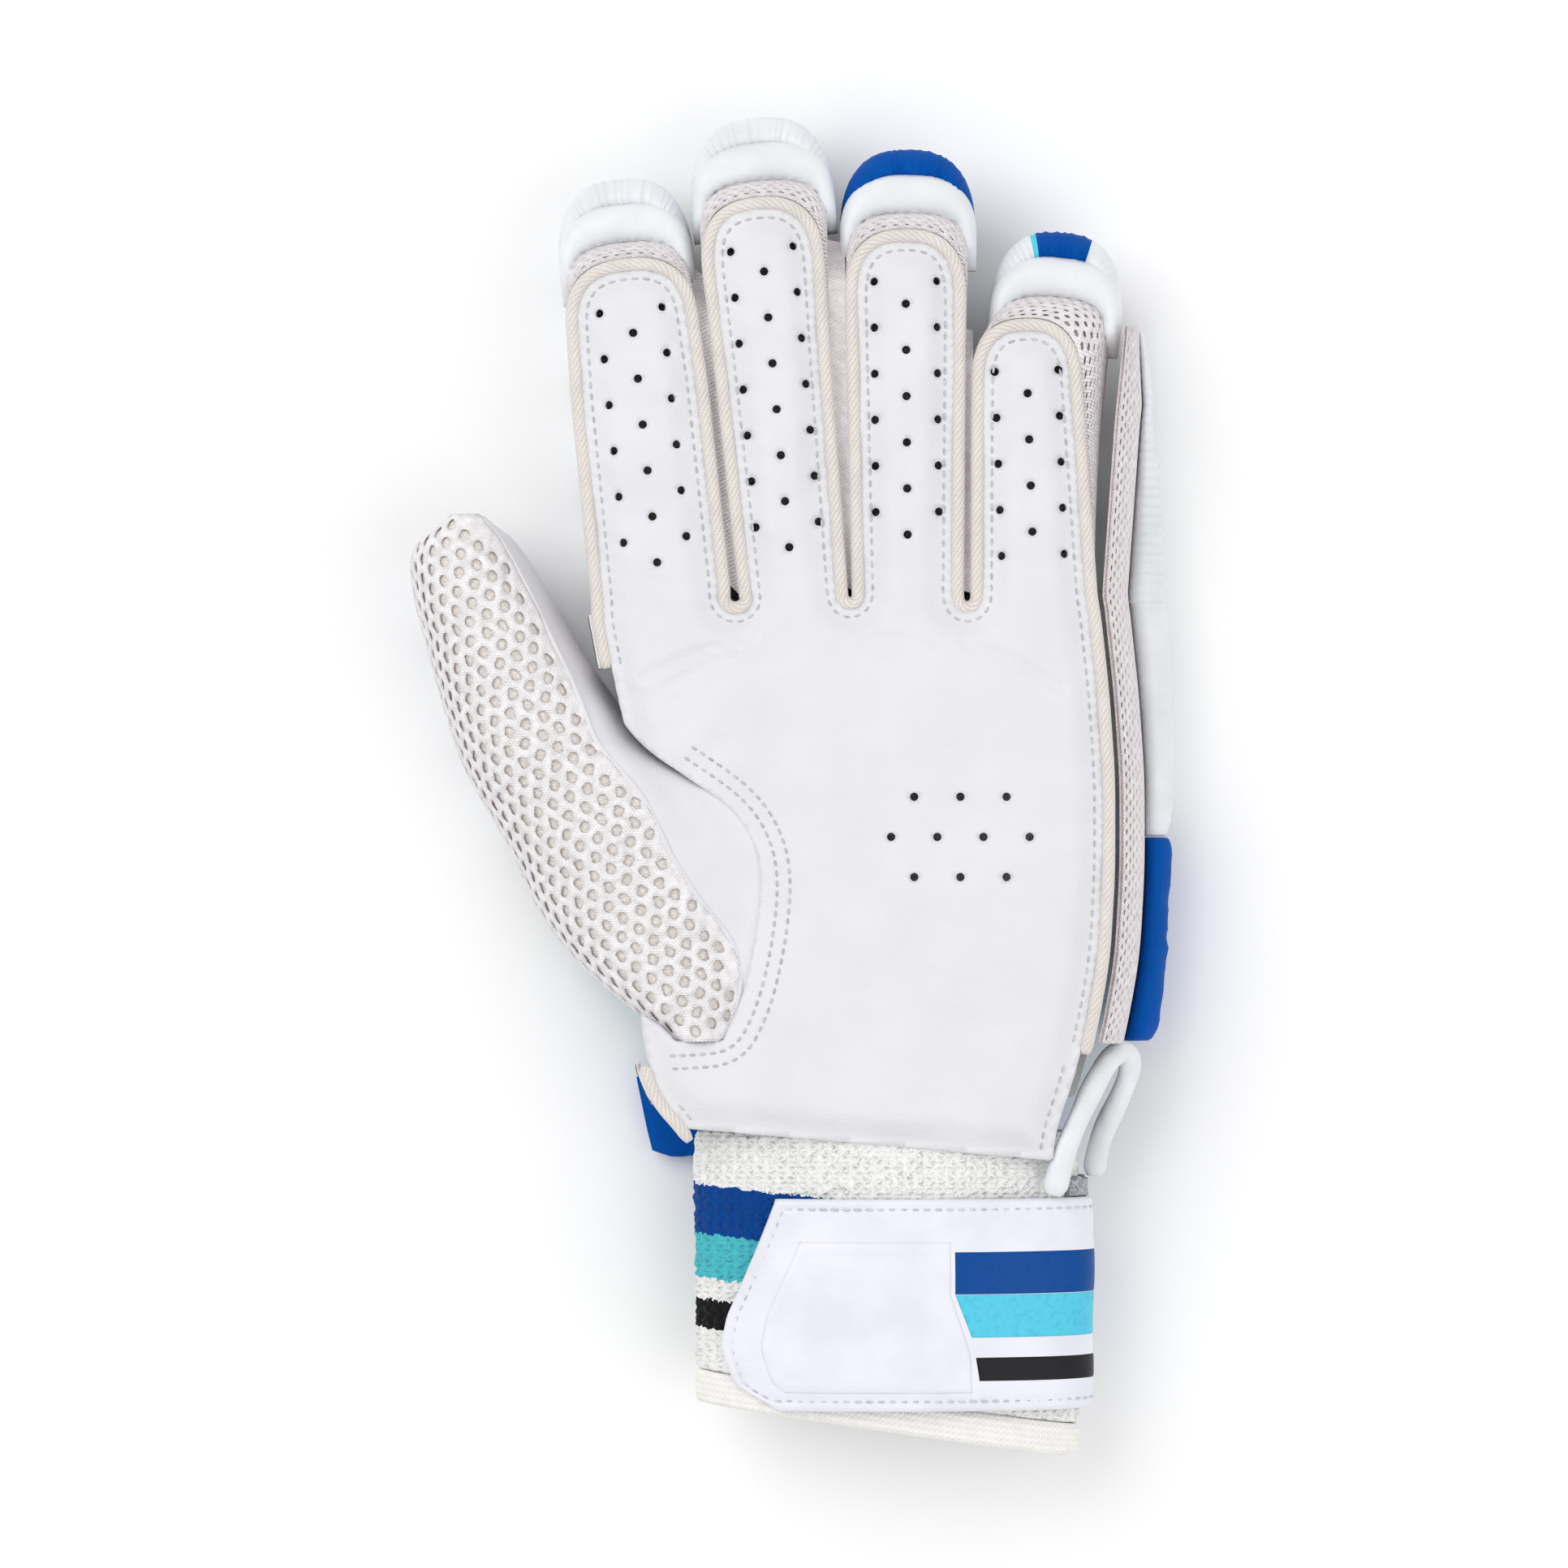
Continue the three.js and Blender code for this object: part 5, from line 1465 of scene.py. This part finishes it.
def thumb_net():
    """The net front: holes laid out over arc length and length along, then laid on the arch."""
    fine = 80
    row = rows_for(THUMB_ALONG, fine)
    share = np.linspace(0, 1, fine)[None]
    angle = mix(row["seam"], np.pi, share)
    grid = thumb_grid(row, angle, 0.0)
    steps = np.linalg.norm(np.diff(grid, axis=1), axis=2)
    arc = np.concatenate([np.zeros((len(grid), 1)), np.cumsum(steps, 1)], 1)
    crest = np.argmin(np.abs(angle - np.pi / 2), axis=1)
    arc = row["x"][:, :1] + arc[np.arange(len(arc)), crest][:, None] - arc
    along = -THUMB_ALONG * THUMB_LENGTH
    right = points_at(arc[:, 0], along)
    left = points_at(arc[:, -1], along)
    outline = resample(np.concatenate([left, right[::-1]]), 1.4, True)
    middle = outline.mean(0)
    reach = np.ptp(outline, axis=0).max() * 0.6
    spots = lattice((-reach, -reach), (reach, reach), NET_PITCH, NET_PITCH * 0.866)
    spots = turned(spots, THUMB_LEAN) + middle
    spots = spots[inside(outline, spots)]
    spots = spots[distance(spots, sides_of(outline)) > 1.9]
    holes = [ring_of(spot, NET_HOLE[0], NET_HOLE[1], 12, THUMB_LEAN) for spot in spots]
    flat, triangles = cut_sheet([outline], holes, 1.5)
    at_row = np.interp(flat[:, 1], along[::-1], np.arange(len(along))[::-1])
    lower = np.clip(at_row.astype(int), 0, len(along) - 2)
    share = (at_row - lower)[:, None]

    def on_row(index):
        made = np.zeros((len(flat), 3))
        for r in np.unique(index):
            chosen = index == r
            for k in range(3):
                made[chosen, k] = np.interp(-flat[chosen, 0], -arc[r], grid[r, :, k])
        return made

    points = mix(on_row(lower), on_row(lower + 1), share)
    piece = flat_build("thumb_front_net", flat, points, triangles, net_white)
    thicken(piece, NET_THICK, 1.0)
    fit(piece, "thumb_mesh")
    return piece


def thumb_seams():
    row = thumb_at(THUMB_ALONG)
    path = thumb_points({k: v[:, None] for k, v in row.items()}, row["seam"][:, None], 0.0)[:, 0]
    path = soften(resample(path, 0.8), 6)
    grid = sweep(path, tapered(oval(1.3, 1.1, 10), len(path), 3, 0.5), (0.3, 0, 1))
    fit(tube("thumb_seam", grid, palm_white))


def build_thumb():
    net = thumb_net()
    under = thumb_skin("thumb_net_backing", lambda seam: seam - 0.02, lambda seam: seam * 0 + np.pi, 60,
                       BACKING_INSET, backing, 0.5)
    fit(under)
    face = thumb_skin("thumb_face", lambda seam: seam * 0, lambda seam: seam, 46,
                      0.0, palm_white, LEATHER * 0.8)
    fit(face, "thumb_leather")
    thumb_seams()
    outline = resample(thumb_outline(-GAP), 2, True)
    limit = palm_left(np.clip(outline[:, 1], -PALM_LENGTH, 0)) - GAP * 2
    outline[:, 0] = np.minimum(outline[:, 0], limit)
    flat, triangles = cut_sheet([outline], [], 4)
    base = flat_build("thumb_base_cloth", flat, raised(flat, CLOTH_TOP), triangles, base_cloth)
    thicken(base, CLOTH)
    fit(base, "thumb_back")

    def reach(y, side):
        row = thumb_at((THUMB_Y - y) / THUMB_LENGTH)
        return row["x"] + side * (row["half"] - 1.5)

    def inner_reach(y):
        return np.minimum(reach(y, 1), palm_left(np.minimum(y, 0)) - 1)

    for k, row in enumerate(THUMB_ROLLS):
        grid = roll_grid(lambda y: reach(y, -1), inner_reach,
                         THUMB_Y - row["start"] * THUMB_LENGTH, THUMB_Y - row["end"] * THUMB_LENGTH,
                         ROLL_HEIGHT * 0.2, ROLL_HEIGHT, 60 + k)
        padded_roll(f"thumb_pad_{k + 1}", grid, pad_white, f"thumb_roll_{k + 1}")


# Wrist
def cuff_points(angle, y, away):
    x = CUFF_MIDDLE_X + (CUFF_WIDTH / 2 + away) * np.cos(angle)
    z = CUFF_MIDDLE_Z + (CUFF_DEPTH / 2 + away) * np.sin(angle)
    return points_at(x, y, z)


def cuff_tube(name, start, end, start_slant, end_slant, rings, away, thickness, material, rough, node):
    """A cloth tube: outer side, rounded end, inner side, as one closed wall."""
    angle = np.linspace(0, 2 * np.pi, 300, endpoint=False)[None]
    share = np.linspace(0, 1, rings)[:, None]
    y = mix(start, end, share) - mix(start_slant, end_slant, share) * np.cos(angle)
    outer = cuff_points(angle, y, away)
    bumps = rough * (0.6 * ripple(outer, 2.2, 21, 16) + 0.5 * ripple(outer, 1.5, 22, 16))
    sag = 0.5 * ripple(outer, 34, 23)
    edge = 0.7 * (np.exp(-share * rings / 1.2) + np.exp(-(1 - share) * rings / 1.2))
    outer = cuff_points(angle, y, away - rough + bumps + sag - edge)
    inner = cuff_points(angle, y[::-1], away - thickness + sag[::-1] * 0.6 + edge * 0.6)
    grid = np.concatenate([outer, inner, outer[:1]])
    quads = grid_quads(len(grid), grid.shape[1], True)
    last = (len(grid) - 1) * grid.shape[1]
    quads = np.where(quads >= last, quads - last, quads)
    if is_inside_out(outer, True):
        quads = quads[:, ::-1]
    piece = build(name, grid[:-1].reshape(-1, 3), quads.tolist(), material, grid_uv(grid, True))
    fit(piece, node)


def strap_left(down):
    return column(STRAP_END, "down", "left", down, 0.03) * CUFF_WIDTH


STRAP_STOP = math.radians(-46)


def strap_grid(down, start_angle, end_angle, columns, away):
    """Points on the strap: down and the two angles are given row by row."""
    y = (STRAP_START - down * STRAP_WIDTH)[:, None]
    share = np.linspace(0, 1, columns)[None]
    angle = mix(start_angle[:, None], np.broadcast_to(end_angle, len(down))[:, None], share)
    return cuff_points(angle, y, away)


def angle_at(x, away):
    return np.arccos(np.clip(x / (CUFF_WIDTH / 2 + away), -1, 1))


STRAP_FACE = STRAP_SEAT + STRAP_THICK
STRAP_SEAM = 2.2               # the strap's seam from its rim
SEAM_STOP = math.radians(-40)
STRIPE_STOP = math.radians(-30)
STRIPE_RISE = 0.12


def strap_wave(grid):
    """The unevenness that the strap shares with all that lies on it."""
    return 0.25 * ripple(grid, 20, 31)


def from_rim(down, middle_row):
    """Distance of a patch's points from its rim: down is in shares of STRAP_WIDTH."""
    run = lengths(middle_row)
    to_end = np.minimum(run, run[-1] - run)[None]
    to_side = (np.minimum(down - down[0], down[-1] - down) * STRAP_WIDTH)[:, None]
    return np.minimum(to_end, to_side)


def build_strap():
    down = np.linspace(0, 1, 70)
    start = angle_at(strap_left(down), 0)
    columns = 190
    flat_outer = strap_grid(down, start, STRAP_STOP, columns, STRAP_FACE)
    edge = from_rim(down, flat_outer[35])
    curl = 0.7 * np.exp(-edge / 0.5)
    groove = 0.35 * np.exp(-((edge - STRAP_SEAM) / 0.7) ** 2)
    wave = strap_wave(flat_outer)
    outer = strap_grid(down, start, STRAP_STOP, columns, STRAP_FACE - curl - groove + wave)
    inner = strap_grid(down, start, STRAP_STOP, columns, STRAP_SEAT + 0.3)
    fit(plate("wrist_strap", outer, inner, strap_white), "strap")
    rows = np.linspace(STRAP_SEAM, STRAP_WIDTH - STRAP_SEAM, 90) / STRAP_WIDTH
    left = points_at(strap_left(rows) + STRAP_SEAM + 0.4, STRAP_START - rows * STRAP_WIDTH)
    left_angle = angle_at(left[:, 0], 0)
    face = STRAP_FACE - 0.28
    side = cuff_points(left_angle, left[:, 1], face)
    top = cuff_points(np.linspace(left_angle[0], SEAM_STOP, 160), left[0, 1], face)
    bottom = cuff_points(np.linspace(left_angle[-1], SEAM_STOP, 160), left[-1, 1], face)
    fit(stitches("strap_stitching", [side, top, bottom], white_thread, 2.5, 1.7))


def strap_print(name, row, material):
    """A thin raised patch on the strap between two heights, with a slanting left end."""
    down = np.linspace(row["start"], row["end"], 26)
    share = (down - row["start"]) / (row["end"] - row["start"])
    left = (row["left"] + row["slant"] * share) * CUFF_WIDTH
    start = angle_at(left, 0)
    columns = 120
    base = strap_grid(down, start, STRIPE_STOP, columns, STRAP_FACE)
    wave = strap_wave(base)
    rounded = STRIPE_RISE * (1 - np.exp(-from_rim(down, base[13]) / 0.35))
    outer = strap_grid(down, start, STRIPE_STOP, columns, STRAP_FACE + rounded + wave)
    inner = strap_grid(down, start, STRIPE_STOP, columns, STRAP_FACE - 0.25 + wave)
    fit(plate(name, outer, inner, material))


# Right edge of the bare pad: down is a share of STRAP_WIDTH, right of CUFF_WIDTH.
PAD_RIGHT = table("down right", [(0.2, 0.152), (0.45, 0.152), (0.66, 0.188), (0.74, 0.2), (0.915, 0.205)])
PAD_INSET = 8.5                # its left edge from the strap's end
PAD_RISE = 0.42


def bare_pad():
    """The raised pad at the strap's end, left bare."""
    down = np.linspace(PAD_RIGHT[0]["down"], PAD_RIGHT[-1]["down"], 60)
    left = strap_left(down) + PAD_INSET
    right = column(PAD_RIGHT, "down", "right", down) * CUFF_WIDTH
    start = angle_at(left, 0)
    stop = angle_at(right, 0)
    base = strap_grid(down, start, stop, 90, STRAP_FACE)
    wave = strap_wave(base)
    edge = from_rim(down, base[30])
    rise = PAD_RISE * (1 - np.exp(-edge / 0.5)) - 0.16 * ease(2.0, 3.2, edge)
    outer = strap_grid(down, start, stop, 90, STRAP_FACE + rise + wave)
    inner = strap_grid(down, start, stop, 90, STRAP_FACE - 0.3 + wave)
    fit(plate("strap_bare_pad", outer, inner, strap_white))


def hook_strip():
    y = np.linspace(STRAP_START + GAP, STRAP_START + GAP + STRIP_WIDTH, 14)[:, None]
    angle = np.radians(np.linspace(24, -12, 60))[None]
    ragged = 0.5 * ripple(cuff_points(angle, y, 0), 2.2, 81)
    y = y + ragged * ease(STRAP_START + STRIP_WIDTH - 1, STRAP_START + STRIP_WIDTH + GAP, y)
    outer = cuff_points(angle, y, STRAP_SEAT + CLOTH + 0.1 * ripple(cuff_points(angle, y, 0), 1.3, 82))
    inner = cuff_points(angle, y, STRAP_SEAT)
    fit(plate("hook_strip", outer, inner, hooks), "fastener_strip")


def slit_edge():
    points = np.array([(row["hand"] * HALF_HAND + row["cuff"] * CUFF_WIDTH, -row["along"] * PALM_LENGTH,
                        row["level"] * EDGE_LEVEL) for row in SLIT_ROUTE])
    path = soften(resample(points, 0.8), 14)
    bulge = 1 + 0.05 * ripple(path, 9, 91)
    section = oval(2 * CORD_RADIUS, 2 * CORD_RADIUS * 0.86, 26, 2.2)[None] * bulge[:, None, None]
    section = section * taper(len(path), 3, 0.6)[:, None, None]
    grid = sweep(path, section)
    grid[..., 2] += 0.12 * ripple(grid, 5, 92)
    padded_roll("slit_edge", grid, pad_white, "slit_binding")


# Corners of the wrist flap, in shares of HALF_HAND, at its start and its end
FLAP_LEFT = (-0.83, -0.76)
FLAP_RIGHT = (0.87, 0.85)


def wrist_pad():
    start = -PALM_LENGTH * 0.885
    end = CUFF_START - CUFF_LENGTH * 0.1

    def edge(y, corners):
        return HALF_HAND * mix(*corners, (y - start) / (end - start))

    grid = roll_grid(lambda y: edge(y, FLAP_LEFT), lambda y: edge(y, FLAP_RIGHT), start, end,
                     0, FLAP_THICK, 95)
    padded_roll("wrist_pad", grid, pad_blue, "wrist_flap")


def build_wrist():
    wrist_pad()
    cuff_tube("towel_cuff", CUFF_START, CUFF_END, 0, HEM_SLANT, 96, 0, CUFF_WALL, towel, 0.35, "cuff")
    cuff_tube("woven_hem", CUFF_END - GAP, CUFF_START - CUFF_LENGTH, HEM_SLANT, HEM_SLANT, 16, -0.2,
              HEM_WALL - 0.4, hem_white, 0.08, "cuff_hem")
    build_strap()
    bare_pad()
    for row in STRAP_STRIPES:
        strap_print(f"strap_stripe_{row['colour']}", row, ink[row["colour"]])
    hook_strip()
    slit_edge()


# Building all the pieces
palm_leather()
palm_stitches()
back_sheet()
binding_tape()
for number, finger in enumerate(FINGERS):
    finger_gusset(finger, LOBES[number])
    fingertip(finger, 3 + 2 * number)
    finger_rolls(finger, 20 + 4 * number)
    tip_roll(finger)
for first, second in zip(LOBES[:-1], LOBES[1:]):
    slot_net(first, second)
hand_rolls()
side_net()
side_bar("outer_pad_white", SIDE_TOP, BAR_JOIN, 420, 46, 0.55, pad_white, "side_pad_white", 4)
side_bar("outer_pad_blue", BAR_JOIN, SIDE_LOW, 120, 9, 0.3, pad_blue, "side_pad_blue", 8)
edge_wall("web_wall", -1, 0.03, 0.13, "web_gusset")
edge_wall("heel_wall", -1, 0.86, 0.93, "heel_gusset")
edge_tape("heel_tape", -1, 0.86, 1.0, "heel_binding")
build_thumb()
build_wrist()


# Studio: plain pale floor, soft light and a long lens straight above
FRAME_WIDTH = 0.342
FRAME_MIDDLE = (-0.0019, 0.0007)
LENS_HEIGHT = 1.7
SUBJECT_LEVEL = 0.025


def studio_floor():
    mesh = bpy.data.meshes.new("floor")
    size = 3.0
    corners = [(-size, -size, 0), (size, -size, 0), (size, size, 0), (-size, size, 0)]
    mesh.from_pydata(corners, [], [[0, 1, 2, 3]])
    s = Surface("studio floor", (255, 255, 255), 0.9)
    s.tint(s.noise(120, 2), (253, 253, 254))
    mesh.materials.append(s.material)
    floor = bpy.data.objects.new("floor", mesh)
    bpy.context.scene.collection.objects.link(floor)


def soft_light(name, place_at, size, power, aim=(0, 0, 0.02)):
    light = bpy.data.lights.new(name, "AREA")
    light.shape = "SQUARE"
    light.size = size
    light.energy = power
    lamp = bpy.data.objects.new(name, light)
    lamp.location = place_at
    lamp.rotation_euler = (Vector(aim) - Vector(place_at)).to_track_quat("-Z", "Y").to_euler()
    bpy.context.scene.collection.objects.link(lamp)


def camera():
    lens = bpy.data.cameras.new("camera")
    lens.sensor_width = 36
    lens.lens = 36 * (LENS_HEIGHT - SUBJECT_LEVEL) / FRAME_WIDTH
    lens.clip_start = 0.05
    lens.clip_end = 20
    eye = bpy.data.objects.new("camera", lens)
    eye.location = (FRAME_MIDDLE[0], FRAME_MIDDLE[1], LENS_HEIGHT)
    bpy.context.scene.collection.objects.link(eye)
    bpy.context.scene.camera = eye


def studio():
    studio_floor()
    world = bpy.data.worlds.new("studio")
    world.use_nodes = True
    world.node_tree.nodes["Background"].inputs["Color"].default_value = (1, 1, 1, 1)
    world.node_tree.nodes["Background"].inputs["Strength"].default_value = 0.7
    bpy.context.scene.world = world
    soft_light("key", (-0.9, 0.7, 1.5), 1.3, 12)
    soft_light("fill", (1.0, -0.5, 1.3), 1.5, 6.5)
    camera()
    bpy.context.scene.view_settings.view_transform = "Standard"


studio()
